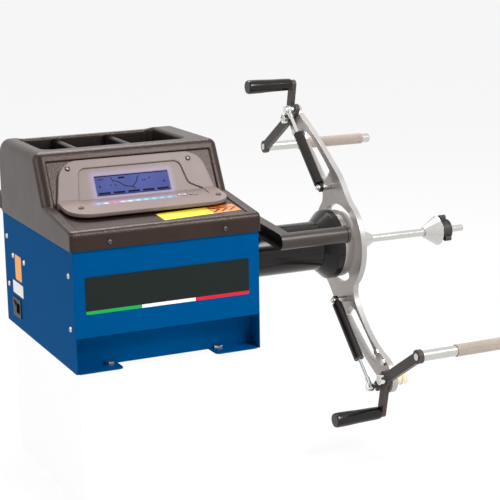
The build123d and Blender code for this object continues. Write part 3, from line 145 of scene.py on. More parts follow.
def surface(name, color, rough=0.5, metallic=0.0, edge=0.6, grain=None, streak=None, mottle=0.0,
            emit=None, rough_spread=0.05, gloss=0.5, sheen=None, worn=None, milled=None, painted_shade_box=None):
    """A solid finish: a base colour with slight mottling, uneven gloss, rounded edges and a relief.

    grain is (size mm, height mm) of a pebbled relief, and streak (axes, pitch mm) fine machining lines
    along those axes. gloss is the strength of its reflections, sheen their tint, and emit (colour,
    strength) a glow. worn (colour, width mm) is a paler bare edge, milled the colour of faces that look
    away from X, and painted_shade_box (colour, low corner, high corner) a box where the base colour is
    painted darker as painted shade."""
    mat = bpy.data.materials.new(name)
    mat.use_nodes = True
    tree = mat.node_tree
    shader = tree.nodes["Principled BSDF"]
    base = srgb(color)
    shader.inputs["Base Color"].default_value = base
    shader.inputs["Metallic"].default_value = metallic
    shader.inputs["Specular IOR Level"].default_value = gloss
    if sheen:
        shader.inputs["Specular Tint"].default_value = srgb(sheen)
    place = put(tree, "ShaderNodeTexCoord").outputs["Object"]
    cloud = put(tree, "ShaderNodeTexNoise", {"Vector": place}, Scale=cloud_scale, Detail=4.0)
    level = put(tree, "ShaderNodeMapRange", {"Value": cloud.outputs["Fac"]},
                To_Min=rough - rough_spread, To_Max=rough + rough_spread)
    tree.links.new(level.outputs["Result"], shader.inputs["Roughness"])
    tint = None
    if mottle:
        dark = tuple(c * (1 - mottle) for c in base[:3]) + (1.0,)
        light = tuple(min(1.0, c * (1 + mottle)) for c in base[:3]) + (1.0,)
        tint = ramp(tree, cloud.outputs["Fac"], [(mottle_band[0], dark), (mottle_band[1], light)])
    normal = None
    if edge:
        normal = put(tree, "ShaderNodeBevel", Radius=edge * mm, samples=bevel_samples).outputs["Normal"]
    if worn:
        wide = put(tree, "ShaderNodeBevel", Radius=worn[1] * mm, samples=bevel_samples)
        true_normal = put(tree, "ShaderNodeNewGeometry").outputs["Normal"]
        bend = put(tree, "ShaderNodeVectorMath", {0: wide.outputs["Normal"], 1: true_normal},
                   operation="DOT_PRODUCT")
        bare = ramp(tree, bend.outputs["Value"], [(worn_band[0], 1.0), (worn_band[1], 0.0)])
        tint = blend_colours(tree, bare, tint or base, srgb(worn[0]))
    if milled:
        true_normal = put(tree, "ShaderNodeNewGeometry").outputs["True Normal"]
        facing = put(tree, "ShaderNodeSeparateXYZ", {"Vector": true_normal})
        aside = calc(tree, "ABSOLUTE", facing.outputs["X"])
        share = ramp(tree, aside, [(side_face_band[0], 1.0), (side_face_band[1], 0.0)])
        tint = blend_colours(tree, share, tint or base, srgb(milled))
    # Painted shade: the base colour turns darker inside the box, standing in for the shade in the tray's
    # pockets.
    if painted_shade_box:
        spot = put(tree, "ShaderNodeSeparateXYZ", {"Vector": place})
        across, inward, upward = box_distances(tree, spot, painted_shade_box[1], painted_shade_box[2])
        away = calc(tree, "MAXIMUM", calc(tree, "MAXIMUM", across, inward), upward)
        inside = put(tree, "ShaderNodeMapRange", {"Value": away}, From_Max=painted_shade_fade,
                     To_Min=1.0, To_Max=0.0)
        tint = blend_colours(tree, inside.outputs["Result"], tint or base, srgb(painted_shade_box[0]))
    if tint:
        tree.links.new(tint, shader.inputs["Base Color"])
    reliefs = []
    if grain:
        pebble = put(tree, "ShaderNodeTexVoronoi", {"Vector": place}, Scale=1 / (grain[0] * mm))
        reliefs.append((pebble.outputs["Distance"], grain[1] * mm, grain_strength))
    if streak:
        squeeze = [1 / (streak[1] * mm)] * 3
        for axis in streak[0]:
            squeeze["XYZ".index(axis)] = streak_stretch
        stretch = put(tree, "ShaderNodeMapping", {"Vector": place}, Scale=squeeze)
        lines = put(tree, "ShaderNodeTexNoise", {"Vector": stretch.outputs["Vector"]}, Scale=1.0,
                    Detail=2.0)
        reliefs.append((lines.outputs["Fac"], streak_height, streak_strength))
    for height, distance, strength in reliefs:
        bump = put(tree, "ShaderNodeBump", {"Height": height}, Distance=distance, Strength=strength)
        if normal:
            tree.links.new(normal, bump.inputs["Normal"])
        normal = bump.outputs["Normal"]
    if normal:
        tree.links.new(normal, shader.inputs["Normal"])
    if emit:
        shader.inputs["Emission Color"].default_value = srgb(emit[0])
        shader.inputs["Emission Strength"].default_value = emit[1]
    return mat


# Powder-coated sheet steel: deep even blue with a very fine orange-peel relief
blue_coat = surface("blue_powder_coat", "004a80", 0.45, grain=(0.9, 0.010), mottle=0.02, gloss=0.005,
                    sheen="2878b4")
# Vacuum-formed ABS: dark brown and pebbled, lit taupe where it faces up, with painted shade inside the
# tray
tray_painted_shade = ("14100e", (-0.133, 0.006, 0.2), (0.115, 0.164, 0.314))
cover_skin = surface("brown_pebbled_abs", "241813", 0.36, grain=(2.8, 0.24), edge=3.0, mottle=0.1,
                     gloss=0.36, sheen="f0e0d8", painted_shade_box=tray_painted_shade)
# Injection-moulded ABS with a satin taupe face
fascia_skin = surface("taupe_satin_abs", "7a6b66", 0.4, grain=(0.6, 0.008), edge=3.0, mottle=0.02,
                      gloss=0.3)
# Moulded nylon: matt near black with a fine grain
black_plastic = surface("black_nylon", "151414", 0.42, grain=(0.7, 0.01), mottle=0.1, gloss=0.3)
# Polished phenolic hand grip: near black with sharp reflections
grip_plastic = surface("black_phenolic", "15100e", 0.16, edge=0, gloss=0.35)
# Rubber: dull black with a coarse grain
rubber = surface("black_rubber", "161514", 0.62, grain=(0.5, 0.02), mottle=0.15)
# Gloss enamel over turned steel: deep black with long clear highlights
gloss_black = surface("black_gloss_enamel", "110c0a", 0.18, edge=1.0, mottle=0.1, rough_spread=0.03,
                      gloss=0.3)
# Satin enamel on the gauge: warm black with soft highlights
satin_black = surface("black_satin_enamel", "342b27", 0.34, edge=0.8, mottle=0.1, gloss=0.4)
# Nitrided strut tube: black with a narrow sheen
strut_black = surface("black_nitrided_tube", "1c1715", 0.26, edge=0.6, mottle=0.08, gloss=0.3)
# Ground steel plate: mid grey faces with upright lines, and a milled edge that is left bright
plate_steel = surface("ground_steel_plate", "aca39e", 0.34, metallic=0.5, edge=0.8, streak=("Z", 0.5),
                      mottle=0.06, worn=("d8d6d4", 1.2), milled="aaa7a4")
# Enamelled cranks: dark grey with paler bare edges
crank_steel = surface("grey_enamelled_steel", "352c28", 0.36, edge=0.8, mottle=0.06, gloss=0.25,
                      worn=("8d8580", 1.0), milled="463d38")
# Turned steel: bright, with fine rings round the axis
turned_steel = surface("turned_steel", "c9c7c4", 0.24, metallic=1.0, streak=("YZ", 0.25), edge=0.5)
# Chromed rods and nuts: near mirrors
polished_rod = surface("polished_chrome", "dededd", 0.1, metallic=1.0, edge=0.4, rough_spread=0.03)
# Zinc plate on bolts and screws: pale and a little cloudy
zinc = surface("zinc_plated_steel", "c6c5c0", 0.3, metallic=1.0, edge=0.3, mottle=0.08)
# Blackened screws: dark, with bright worn rims
dark_screw = surface("blackened_screw", "4a4644", 0.3, metallic=0.9, edge=0, worn=("c4c0bc", 0.5))
# Oiled steel nut: dark grey metal
dark_steel = surface("oiled_dark_steel", "4a4745", 0.32, metallic=0.85, edge=0.4)
# Machined casting: dull mid grey
cast_grey = surface("machined_cast_iron", "6c6b6a", 0.5, metallic=0.5, mottle=0.08)
# Satin aluminium: pale metal with lines along the spindle
alloy = surface("satin_aluminium", "b9b9ba", 0.34, metallic=1.0, streak=("X", 0.4))
# Solder mask: flat green
board_green = surface("solder_mask", "14502c", 0.4)
# Nylon ring and acetal sleeves: warm, pale and softly shiny
cream = surface("cream_nylon", "ded3b4", 0.4, edge=0.8)
sleeve_white = surface("pale_acetal", "9f9388", 0.3, edge=0.5, mottle=0.03, gloss=0.3)
# Vinyl films and inks: thin even colours on the case and the deck
blank_film = surface("blank_white_vinyl", "e4e3e0", 0.4, edge=0)
amber_film = surface("amber_vinyl", "ee9c34", 0.4, edge=0)
yellow_film = surface("yellow_vinyl", "e4cc38", 0.36, edge=0, mottle=0.03)
orange_ink = surface("orange_ink", "e07a20", 0.4, edge=0)
brown_ink = surface("dark_brown_ink", "3a1d08", 0.4, edge=0)
# Display segments, dark and faint, and the pale rings round the buttons
lcd_ink = surface("dark_display_segment", "10122c", 0.5, edge=0, gloss=0.03, emit=("1c1f58", 0.1))
lcd_line = surface("faint_display_segment", "1c204c", 0.5, edge=0, gloss=0.03, emit=("3c4288", 0.3))
button_ring = surface("pale_button_ring", "cfcad6", 0.35, edge=0, emit=("c8c0f0", 0.25))
faint_ring = surface("faint_button_ring", "8e8690", 0.35, edge=0)


glow_reach = {"display_window": 13 * mm, "indicator_bar": 12 * mm}
glow_strength = 0.30


def add_display_glow(mat):
    """Painted light: violet light of the display and the lamps, painted as a glow on the plastic round
    them.
    """
    tree = mat.node_tree
    shader = tree.nodes["Principled BSDF"]
    spot = object_spot(tree)
    glows = []
    for node_name, reach in glow_reach.items():
        across, inward, upward = box_distances(tree, spot, *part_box(node_name))
        away = put(tree, "ShaderNodeCombineXYZ", {"X": across, "Y": inward, "Z": upward})
        length = put(tree, "ShaderNodeVectorMath", {0: away.outputs["Vector"]}, operation="LENGTH")
        fade = put(tree, "ShaderNodeMapRange", {"Value": length.outputs["Value"]},
                   interpolation_type="SMOOTHSTEP", From_Max=reach, To_Min=1.0, To_Max=0.0)
        glows.append(fade.outputs["Result"])
    power = calc(tree, "MULTIPLY", calc(tree, "MAXIMUM", *glows), glow_strength)
    shader.inputs["Emission Color"].default_value = srgb("8f86e0")
    tree.links.new(power, shader.inputs["Emission Strength"])


add_display_glow(fascia_skin)
label_colour = "1d2422"
stripe_height = 5.4 * mm
stripe_colours = [(0.0, srgb("22a04c")), (0.330, srgb("f0f0ee")), (0.657, srgb("cc2238"))]


def striped_label():
    """Dark printed film whose lower edge carries a green, a white and a red length."""
    mat = surface("dark_printed_vinyl", label_colour, 0.3, edge=0, gloss=0.08)
    tree = mat.node_tree
    spot = object_spot(tree)
    low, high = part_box("front_label")
    along = put(tree, "ShaderNodeMapRange", {"Value": spot.outputs["X"]}, From_Min=low.x, From_Max=high.x)
    stripe = ramp(tree, along.outputs["Result"], stripe_colours, "CONSTANT")
    below = calc(tree, "LESS_THAN", spot.outputs["Z"], low.z + stripe_height)
    printed = blend_colours(tree, below, srgb(label_colour), stripe)
    tree.links.new(printed, tree.nodes["Principled BSDF"].inputs["Base Color"])
    return mat


display_colours = [(0.3, srgb("58629c")), (0.7, srgb("6a74b4"))]
display_light = 0.58


def lcd_glass():
    """Backlit violet-blue display, a little uneven."""
    mat = surface("backlit_display", "262b55", 0.5, edge=0, gloss=0.03)
    tree = mat.node_tree
    shader = tree.nodes["Principled BSDF"]
    place = put(tree, "ShaderNodeTexCoord").outputs["Object"]
    cloud = put(tree, "ShaderNodeTexNoise", {"Vector": place}, Scale=18.0, Detail=1.0)
    glow = ramp(tree, cloud.outputs["Fac"], display_colours)
    tree.links.new(glow, shader.inputs["Emission Color"])
    shader.inputs["Emission Strength"].default_value = display_light
    return mat


lamp_colours = [(0.0, srgb("7ec4f4")), (0.13, srgb("e6f8ff")), (0.2, srgb("f0607c")),
                (0.28, srgb("ff9cc0")), (0.36, srgb("f4fbff")), (0.6, srgb("a8ecf8")),
                (1.0, srgb("8ccaf2"))]
lamp_count = 10
dimmest_lamp = 0.55


def lit_segments():
    """Row of lamps behind a diffuser: cyan-white with one red stretch, in soft-edged segments."""
    mat = surface("lit_diffuser", "3c464c", 0.5, edge=0, gloss=0.05)
    tree = mat.node_tree
    shader = tree.nodes["Principled BSDF"]
    low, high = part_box("indicator_bar")
    along = put(tree, "ShaderNodeMapRange", {"Value": object_spot(tree).outputs["X"]},
                From_Min=low.x, From_Max=high.x)
    hue = ramp(tree, along.outputs["Result"], lamp_colours)
    wave = calc(tree, "MULTIPLY", along.outputs["Result"], lamp_count * 2 * pi)
    power = put(tree, "ShaderNodeMapRange", {"Value": calc(tree, "SINE", wave)}, From_Min=-1.0,
                To_Min=dimmest_lamp, To_Max=1.0)
    tree.links.new(hue, shader.inputs["Emission Color"])
    tree.links.new(power.outputs["Result"], shader.inputs["Emission Strength"])
    return mat


finishes = {
    blue_coat: ["chassis", "side_panel_left", "side_panel_right"],
    cover_skin: ["cover"],
    fascia_skin: ["fascia", "button_enter", "button_select"],
    black_plastic: ["display_module", "mains_inlet", "mains_switch", "encoder_sensor"],
    lcd_glass(): ["display_window"],
    lit_segments(): ["indicator_bar"],
    board_green: ["control_board"],
    alloy: ["power_supply", "motor", "motor_pulley", "driven_pulley", "encoder_disc"],
    rubber: ["rear_bumper", "drive_belt"],
    sleeve_white: ["bar_sleeve_upper", "bar_sleeve_lower"],
    striped_label(): ["front_label"],
    gloss_black: ["spindle_housing", "flange_hub"],
    satin_black: ["gauge_arm", "gauge_tube", "gauge_cap", "gauge_bush"],
    cast_grey: ["spindle_pedestal"],
    turned_steel: ["force_sensors", "bearings", "gauge_rod", "spindle_shaft", "centring_shaft",
                   "machined_flange", "rear_cone", "front_cone", "drive_bar_upper", "drive_bar_lower",
                   "strut_studs"],
    plate_steel: ["adapter_plate"],
    crank_steel: ["crank_upper", "crank_lower"],
    dark_steel: ["quick_nut"],
    polished_rod: ["strut_rod_upper", "strut_rod_lower", "pivot_nuts"],
    strut_black: ["strut_body_upper", "strut_body_lower"],
    grip_plastic: ["hand_grip_upper", "hand_grip_lower"],
    cream: ["pivot_drum_lower"],
    zinc: ["case_screws", "hold_down_bolts", "plate_screws", "pivot_bolts"],
    dark_screw: ["fascia_screws"],
}
for finish, names in finishes.items():
    for name in names:
        nodes[name].data.materials.clear()
        nodes[name].data.materials.append(finish)


# Meshes

def new_piece(name, mesh, finish, body, smooth_below=35):
    """A finished piece from a mesh: smooth where its faces meet gently, riding on a body."""
    piece = bpy.data.objects.new(name, mesh)
    bpy.context.scene.collection.objects.link(piece)
    mesh.materials.clear()
    mesh.materials.append(finish)
    mesh.shade_smooth()
    mesh.set_sharp_from_angle(angle=radians(smooth_below))
    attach(piece, body)
    return piece


class Sheet:
    """A flat place on the object: a point, two directions in its plane and the normal that they give."""

    def __init__(self, origin, along, up):
        self.origin = Vector(origin)
        self.along = Vector(along).normalized()
        self.up = Vector(up).normalized()
        self.out = self.along.cross(self.up)

    def at(self, x, y, lift=0.0):
        return self.origin + (self.along * x + self.up * y + self.out * lift) * mm


def film(name, sheet, outlines, finish, body="base", lift=0.05, thick=0.15):
    """Thin films on a sheet, one for each outline in millimetres, merged into one piece."""
    bm = bmesh.new()
    for outline in outlines:
        low = [bm.verts.new(sheet.at(x, y, lift)) for x, y in outline]
        high = [bm.verts.new(sheet.at(x, y, lift + thick)) for x, y in outline]
        bm.faces.new(high)
        bm.faces.new(low[::-1])
        for i in range(len(outline)):
            j = (i + 1) % len(outline)
            bm.faces.new((low[i], low[j], high[j], high[i]))
    bmesh.ops.recalc_face_normals(bm, faces=bm.faces)
    mesh = bpy.data.meshes.new(name)
    bm.to_mesh(mesh)
    bm.free()
    return new_piece(name, mesh, finish, body)


def stroke(points, width):
    """Outlines of a bent line of some width: one four-cornered outline for each run."""
    outlines = []
    for (x0, y0), (x1, y1) in zip(points, points[1:]):
        run = Vector((x1 - x0, y1 - y0)).normalized() * width / 2
        side = Vector((-run.y, run.x))
        start = Vector((x0, y0)) - run
        end = Vector((x1, y1)) + run
        outlines.append([tuple(start - side), tuple(end - side), tuple(end + side), tuple(start + side)])
    return outlines


def bar_outline(x, y, width, height):
    """The four corners of an upright rectangle, by its middle."""
    return [(x - width / 2, y - height / 2), (x + width / 2, y - height / 2),
            (x + width / 2, y + height / 2), (x - width / 2, y + height / 2)]


def round_outline(x, y, width, height, corner, steps=6):
    """A rectangle with round corners, by its middle."""
    points = []
    for quarter, (sx, sy) in enumerate(((1, 1), (-1, 1), (-1, -1), (1, -1))):
        cx = x + sx * (width / 2 - corner)
        cy = y + sy * (height / 2 - corner)
        for step in range(steps + 1):
            turn = (quarter + step / steps) * pi / 2
            points.append((cx + corner * cos(turn), cy + corner * sin(turn)))
    return points


def ring_outlines(x, y, wide, tall, width, steps=28):
    """A slot-shaped ring as short runs of a line round its middle."""
    half = (wide - tall) / 2
    points = []
    for step in range(steps + 1):
        turn = 2 * pi * step / steps
        shift = half if cos(turn) > 0 else -half
        points.append((x + shift + tall / 2 * cos(turn), y + tall / 2 * sin(turn)))
    outlines = []
    for (x0, y0), (x1, y1) in zip(points, points[1:]):
        inner = [(x + (px - x) * (1 - width / tall), y + (py - y) * (1 - width / tall))
                 for px, py in ((x0, y0), (x1, y1))]
        outlines.append([(x0, y0), (x1, y1), inner[1], inner[0]])
    return outlines


# Places on the case that the screws and films share with the CAD, in millimetres

case_half = 157.0
side_screw_y = 167.5
side_screw_heights = (69, 154)
supply_screw_y = (71, 135.5)
supply_screw_height = 125.5
skirt_front = 192
skirt_screw_x = 97
skirt_screw_height = 207
spindle_height = 113
deck_front_y, deck_front_height = -192, 226
deck_rise, deck_run = 17, 126
deck_recess = 3
slope_foot_y, slope_foot_height = -66, 243
slope_rise, slope_run = 82, 44
window_thickness = 2.5
button_depth = 9
deck_angle = atan2(deck_rise, deck_run)
slope_angle = atan2(slope_rise, slope_run)
deck_up = (0, cos(deck_angle), sin(deck_angle))
slope_up = (0, cos(slope_angle), sin(slope_angle))


# Films on the case

panel_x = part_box("side_panel_left")[0].x
left_panel = Sheet((panel_x, 0, 0), (0, -1, 0), (0, 0, 1))
amber_middle, amber_size, amber_corner = (-109, 108), (36, 44), 4
plate_middle, plate_size, plate_corner = (-116, 70), (60, 22), 2
film("amber_patch", left_panel, [round_outline(*amber_middle, *amber_size, amber_corner)], amber_film)
film("blank_plate", left_panel, [round_outline(*plate_middle, *plate_size, plate_corner)], blank_film)

recess_drop = Vector((0, sin(deck_angle), -cos(deck_angle))) * deck_recess * mm
deck_front = Vector((0, deck_front_y * mm, deck_front_height * mm)) + recess_drop
deck = Sheet(deck_front, (1, 0, 0), deck_up)
strip_start, strip_end = Vector((2, 38)), Vector((139.5, 48.5))
strip_half = 16.5
strip_patch = 50
chevron_count = 3
chevron_pitch = 14
chevron_tip_gap = 4
chevron_reach = 13
chevron_half = 10
chevron_line = 4.2
patch_lift = 0.22
chevron_lift = 0.28
ink_thickness = 0.05
strip_run = (strip_end - strip_start).normalized()
strip_side = Vector((-strip_run.y, strip_run.x))
strip_length = (strip_end - strip_start).length


def on_strip(along, across):
    """A place on the deck from a place on the yellow strip."""
    return tuple(strip_start + strip_run * along + strip_side * across)


def strip_outline(start):
    """The strip's outline from some length along it to its end."""
    return [on_strip(start, -strip_half), on_strip(strip_length, -strip_half),
            on_strip(strip_length, strip_half), on_strip(start, strip_half)]


film("yellow_strip", deck, [strip_outline(0)], yellow_film)
film("strip_end_patch", deck, [strip_outline(strip_length - strip_patch)], orange_ink,
     lift=patch_lift, thick=ink_thickness)
chevrons = []
for step in range(chevron_count):
    tip = strip_length - chevron_tip_gap - chevron_pitch * step
    foot = tip - chevron_reach
    bend = [on_strip(foot, -chevron_half), on_strip(tip, 0), on_strip(foot, chevron_half)]
    chevrons += stroke(bend, chevron_line)
film("strip_chevrons", deck, chevrons, brown_ink, lift=chevron_lift, thick=ink_thickness)


# Drawing on the display: a rim's section, a heading, figures and a row of keys, in millimetres

window_low, window_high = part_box("display_window")
glass = Sheet((0, window_low.y, window_low.z + window_thickness * mm * cos(slope_angle)), (1, 0, 0),
              slope_up)
left, right, tall = window_low.x / mm, window_high.x / mm, 34
middle = (left + right) / 2
key_count = 5
key_start, key_pitch, key_height = 12.8, 25.4, 4
key_size = (20, 3.4)
heading_middle, heading_size = (-18, 28.5), (11, 3)
figure_size = (2.2, 3)
mark_count, mark_start, mark_pitch, mark_height = 4, 6, 2.6, 28
mark_size = (1.6, 2.6)
edge_mark_size = (3, 4)
edge_mark_height = 16
left_mark_inset, right_mark_inset = 7, 9
segment_thickness = 0.1
frame_gap = 1
rim_line, axle_line, top_line, bottom_line = 1.3, 1.2, 1.6, 1.0
rim_points = [(-36, 30), (-33, 24), (-25, 22.5), (-14, 14), (-1, 11.5), (1, 14), (8, 21), (9, 26),
              (12, 29)]
axle_points = [(-1, 11.5), (3, 8)]
rim = [(middle + x, y) for x, y in rim_points]
axle = [(middle + x, y) for x, y in axle_points]
top_edge = [(left + frame_gap, tall - frame_gap), (right - frame_gap, tall - frame_gap)]
bottom_edge = [(left + frame_gap, frame_gap), (right - frame_gap, frame_gap)]
dark_lines = stroke(rim, rim_line) + stroke(axle, axle_line)
dark_lines += stroke(top_edge, top_line) + stroke(bottom_edge, bottom_line)
dark_lines += [bar_outline(middle + heading_middle[0], heading_middle[1], *heading_size)]
for step in range(key_count):
    dark_lines += [bar_outline(left + key_start + key_pitch * step, key_height, *key_size)]
film("display_drawing", glass, dark_lines, lcd_ink,
     thick=segment_thickness)
figure_places = [(-38, 17), (-30, 17), (18, 21), (22, 21), (30, 24)]
faint = [bar_outline(left + mark_start + mark_pitch * step, mark_height, *mark_size)
         for step in range(mark_count)]
faint += [bar_outline(middle + x, y, *figure_size) for x, y in figure_places]
faint += [bar_outline(x, edge_mark_height, *edge_mark_size)
          for x in (left + left_mark_inset, right - right_mark_inset)]
film("display_figures", glass, faint, lcd_line, thick=segment_thickness)

button_ring_size = (13.5, 7.5, 1.6)
ring_lift = 0.04
ring_thickness = 0.12
for name, ring_finish in (("button_enter", button_ring), ("button_select", faint_ring)):
    low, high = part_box(name)
    centre = (low + high) / 2
    rise = (high.z - low.z) - button_depth * mm * sin(deck_angle)
    crown = (centre.x, centre.y - sin(deck_angle) * rise / 2, centre.z + rise / 2)
    top = Sheet(crown, (1, 0, 0), deck_up)
    film(name + "_ring", top, ring_outlines(0, 0, *button_ring_size), ring_finish, body=name,
         lift=ring_lift, thick=ring_thickness)


# Geometry Nodes: screws, fluted grips and nut ridges

def geometry_tree(name, inputs):
    """A Geometry Nodes tree with named inputs, as (name, socket type, value or None)."""
    tree = bpy.data.node_groups.new(name, "GeometryNodeTree")
    tree.interface.new_socket("Geometry", in_out="INPUT", socket_type="NodeSocketGeometry")
    for label, kind, value in inputs:
        socket = tree.interface.new_socket(label, in_out="INPUT", socket_type=kind)
        if value is not None:
            socket.default_value = value
    tree.interface.new_socket("Geometry", in_out="OUTPUT", socket_type="NodeSocketGeometry")
    return tree, put(tree, "NodeGroupInput"), put(tree, "NodeGroupOutput")


def grown(name, mesh, tree, values):
    """The plain mesh that a tree makes of a mesh, with the tree's inputs set by their identifiers."""
    seed = bpy.data.objects.new(name + "_seed", mesh)
    bpy.context.scene.collection.objects.link(seed)
    modifier = seed.modifiers.new("grow", "NODES")
    modifier.node_group = tree
    for item in tree.interface.items_tree:
        if item.in_out == "INPUT" and item.name in values:
            modifier[item.identifier] = values[item.name]
    bpy.context.view_layer.update()
    graph = bpy.context.evaluated_depsgraph_get()
    result = bpy.data.meshes.new_from_object(seed.evaluated_get(graph))
    seed.modifiers.clear()
    bpy.data.objects.remove(seed)
    result.name = name
    return result


def finish_tree(tree, inlet, outlet, source):
    """Ends a tree in Realize Instances and Set Material."""
    real = put(tree, "GeometryNodeRealizeInstances", {"Geometry": source})
    painted = put(tree, "GeometryNodeSetMaterial", {"Geometry": real.outputs["Geometry"],
                                                    "Material": inlet.outputs["Finish"]})
    tree.links.new(painted.outputs["Geometry"], outlet.inputs["Geometry"])


def lobed_head():
    """A screw's domed head of radius 1 with a six-lobed recess, closed underneath.

    rings holds the height, radius and lobe depth of each ring, from the seat to the recess's floor."""
    bm = bmesh.new()
    steps, lobes = 24, 6
    rings = [(0.0, 1.0, 0), (0.16, 1.0, 0), (0.42, 0.88, 0), (0.56, 0.66, 0), (0.60, 0.50, 0.12),
             (0.22, 0.46, 0.14)]
    loops = []
    for height, radius, lobe in rings:
        loop = []
        for step in range(steps):
            turn = 2 * pi * step / steps
            reach = radius * (1 + lobe * cos(lobes * turn))
            loop.append(bm.verts.new((reach * cos(turn), reach * sin(turn), height)))
        loops.append(loop)
    for lower, upper in zip(loops, loops[1:]):
        for i in range(steps):
            j = (i + 1) % steps
            bm.faces.new((lower[i], lower[j], upper[j], upper[i]))
    bm.faces.new(loops[0][::-1])
    bm.faces.new(loops[-1])
    bmesh.ops.recalc_face_normals(bm, faces=bm.faces)
    mesh = bpy.data.meshes.new("lobed_head")
    bm.to_mesh(mesh)
    bm.free()
    return mesh


head_radius = 4.5 * mm
skirt_head_radius = 4.3 * mm


def screw_tree():
    """One head on each point, turned to the point's aim."""
    inputs = [("Head", "NodeSocketObject", None), ("Head Radius", "NodeSocketFloat", head_radius),
              ("Finish", "NodeSocketMaterial", None)]
    tree, inlet, outlet = geometry_tree("screw_heads", inputs)
    head = put(tree, "GeometryNodeObjectInfo", {"Object": inlet.outputs["Head"]})
    aim = put(tree, "GeometryNodeInputNamedAttribute", data_type="FLOAT_VECTOR", Name="aim")
    turned = put(tree, "FunctionNodeAlignRotationToVector", {"Vector": aim.outputs["Attribute"]}, axis="Z")
    heads = put(tree, "GeometryNodeInstanceOnPoints", {"Points": inlet.outputs["Geometry"],
                                                       "Instance": head.outputs["Geometry"],
                                                       "Rotation": turned.outputs["Rotation"],
                                                       "Scale": inlet.outputs["Head Radius"]})
    finish_tree(tree, inlet, outlet, heads.outputs["Instances"])
    return tree


def aimed_points(name, places):
    """A mesh of bare points that carry the direction their screw points in."""
    mesh = bpy.data.meshes.new(name)
    mesh.from_pydata([tuple(place) for place, aim in places], [], [])
    aims = mesh.attributes.new("aim", "FLOAT_VECTOR", "POINT")
    for i, (place, aim) in enumerate(places):
        aims.data[i].vector = aim
    return mesh


def screw_heads(name, places, radius, finish):
    """A piece with one screw head of some radius on each place, given as (point, aim)."""
    values = {"Head": head_object, "Head Radius": radius, "Finish": finish}
    mesh = grown(name, aimed_points(name + "_points", places), screws, values)
    return new_piece(name, mesh, finish, "base")


head_object = bpy.data.objects.new("lobed_head", lobed_head())
screws = screw_tree()
case_places = [(Vector((side * case_half, y, z)) * mm, Vector((side, 0, 0)))
               for side in (-1, 1) for y in (-side_screw_y, side_screw_y) for z in side_screw_heights]
case_places += [(Vector((-case_half, y, supply_screw_height)) * mm, Vector((-1, 0, 0)))
                for y in supply_screw_y]
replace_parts(screw_heads("case_screw_heads", case_places, head_radius, zinc), "case_screws")
skirt_places = [(Vector((x, side * skirt_front, skirt_screw_height)) * mm, Vector((0, side, 0)))
                for x in (-skirt_screw_x, skirt_screw_x) for side in (-1, 1)]
screw_heads("skirt_screw_heads", skirt_places, skirt_head_radius, dark_screw)

screw_low, screw_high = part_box("fascia_screws")
upper_screw_x = (-110, 100)
lower_screw_x = (-112, 124)
head_share = 0.9
upper_stand = 1.6
lower_stand = 7.5
upper_z = screw_high.z - head_radius * sin(slope_angle) * head_share
upper_reach = (upper_z - slope_foot_height * mm) / sin(slope_angle)
lower_reach = (screw_low.y - deck_front_y * mm) / cos(deck_angle) + head_radius
fascia_places = []
for screw_x, foot_y, foot_height, angle, reach, stand, out in (
        (upper_screw_x, slope_foot_y, slope_foot_height, slope_angle, upper_reach, upper_stand, glass.out),
        (lower_screw_x, deck_front_y, deck_front_height, deck_angle, lower_reach, lower_stand, deck.out)):
    for x in screw_x:
        seat_y = foot_y * mm + reach * cos(angle)
        seat_z = foot_height * mm + reach * sin(angle)
        fascia_places.append((Vector((x * mm, seat_y, seat_z)) + out * stand * mm, out))
fascia_heads = screw_heads("fascia_screw_heads", fascia_places, head_radius, dark_screw)
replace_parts(fascia_heads, "fascia_screws")
bpy.data.objects.remove(head_object)


grip_tip_radius = 13.5 * mm
flute_rounding = 9 * mm
grip_start_share, grip_end_share = 0.0, 0.55
grip_profile = ((0.03, 0.30), (0.08, 0.42), (0.45, 0.62), (0.90, 1.0), (0.965, 0.96))


def grip_tree():
    """A fluted grip along -X: a line whose radius follows neck, waist and tip, swept with a star."""
    inputs = [("Start", "NodeSocketVector", (0, 0, 0)), ("Length", "NodeSocketFloat", 89 * mm),
              ("Tip Radius", "NodeSocketFloat", grip_tip_radius), ("Neck Share", "NodeSocketFloat", 0.76),
              ("Flutes", "NodeSocketInt", 9), ("Flute Depth", "NodeSocketFloat", 0.8 * mm),
              ("Finish", "NodeSocketMaterial", None)]
    tree, inlet, outlet = geometry_tree("fluted_grip", inputs)
    line = put(tree, "GeometryNodeCurvePrimitiveLine", {"Start": inlet.outputs["Start"],
                                                        "Length": inlet.outputs["Length"]},
               mode="DIRECTION", Direction=(-1, 0, 0))
    fine = put(tree, "GeometryNodeResampleCurve", {"Curve": line.outputs["Curve"]}, Count=48)
    along = put(tree, "GeometryNodeSplineParameter").outputs["Factor"]
    shape = put(tree, "ShaderNodeFloatCurve", {"Value": along})
    curve = shape.mapping.curves[0]
    curve.points[0].location = (0.0, grip_start_share)
    curve.points[1].location = (1.0, grip_end_share)
    for place in grip_profile:
        curve.points.new(*place)
    shape.mapping.update()
    share = put(tree, "ShaderNodeMapRange", {"Value": shape.outputs["Value"],
                                             "To Min": inlet.outputs["Neck Share"]}, To_Max=1.0)
    sized = put(tree, "GeometryNodeSetCurveRadius", {"Curve": fine.outputs["Curve"],
                                                     "Radius": share.outputs["Result"]})
    bottom = calc(tree, "SUBTRACT", inlet.outputs["Tip Radius"], inlet.outputs["Flute Depth"])
    star = put(tree, "GeometryNodeCurveStar", {"Points": inlet.outputs["Flutes"],
                                               "Inner Radius": bottom,
                                               "Outer Radius": inlet.outputs["Tip Radius"]})
    soft = put(tree, "GeometryNodeFilletCurve", {"Curve": star.outputs["Curve"]}, mode="POLY",
               Radius=flute_rounding, Count=5)
    radius = put(tree, "GeometryNodeInputRadius")
    swept = put(tree, "GeometryNodeCurveToMesh", {"Curve": sized.outputs["Curve"],
                                                  "Profile Curve": soft.outputs["Curve"],
                                                  "Scale": radius.outputs["Radius"]}, Fill_Caps=True)
    finish_tree(tree, inlet, outlet, swept.outputs["Mesh"])
    return tree


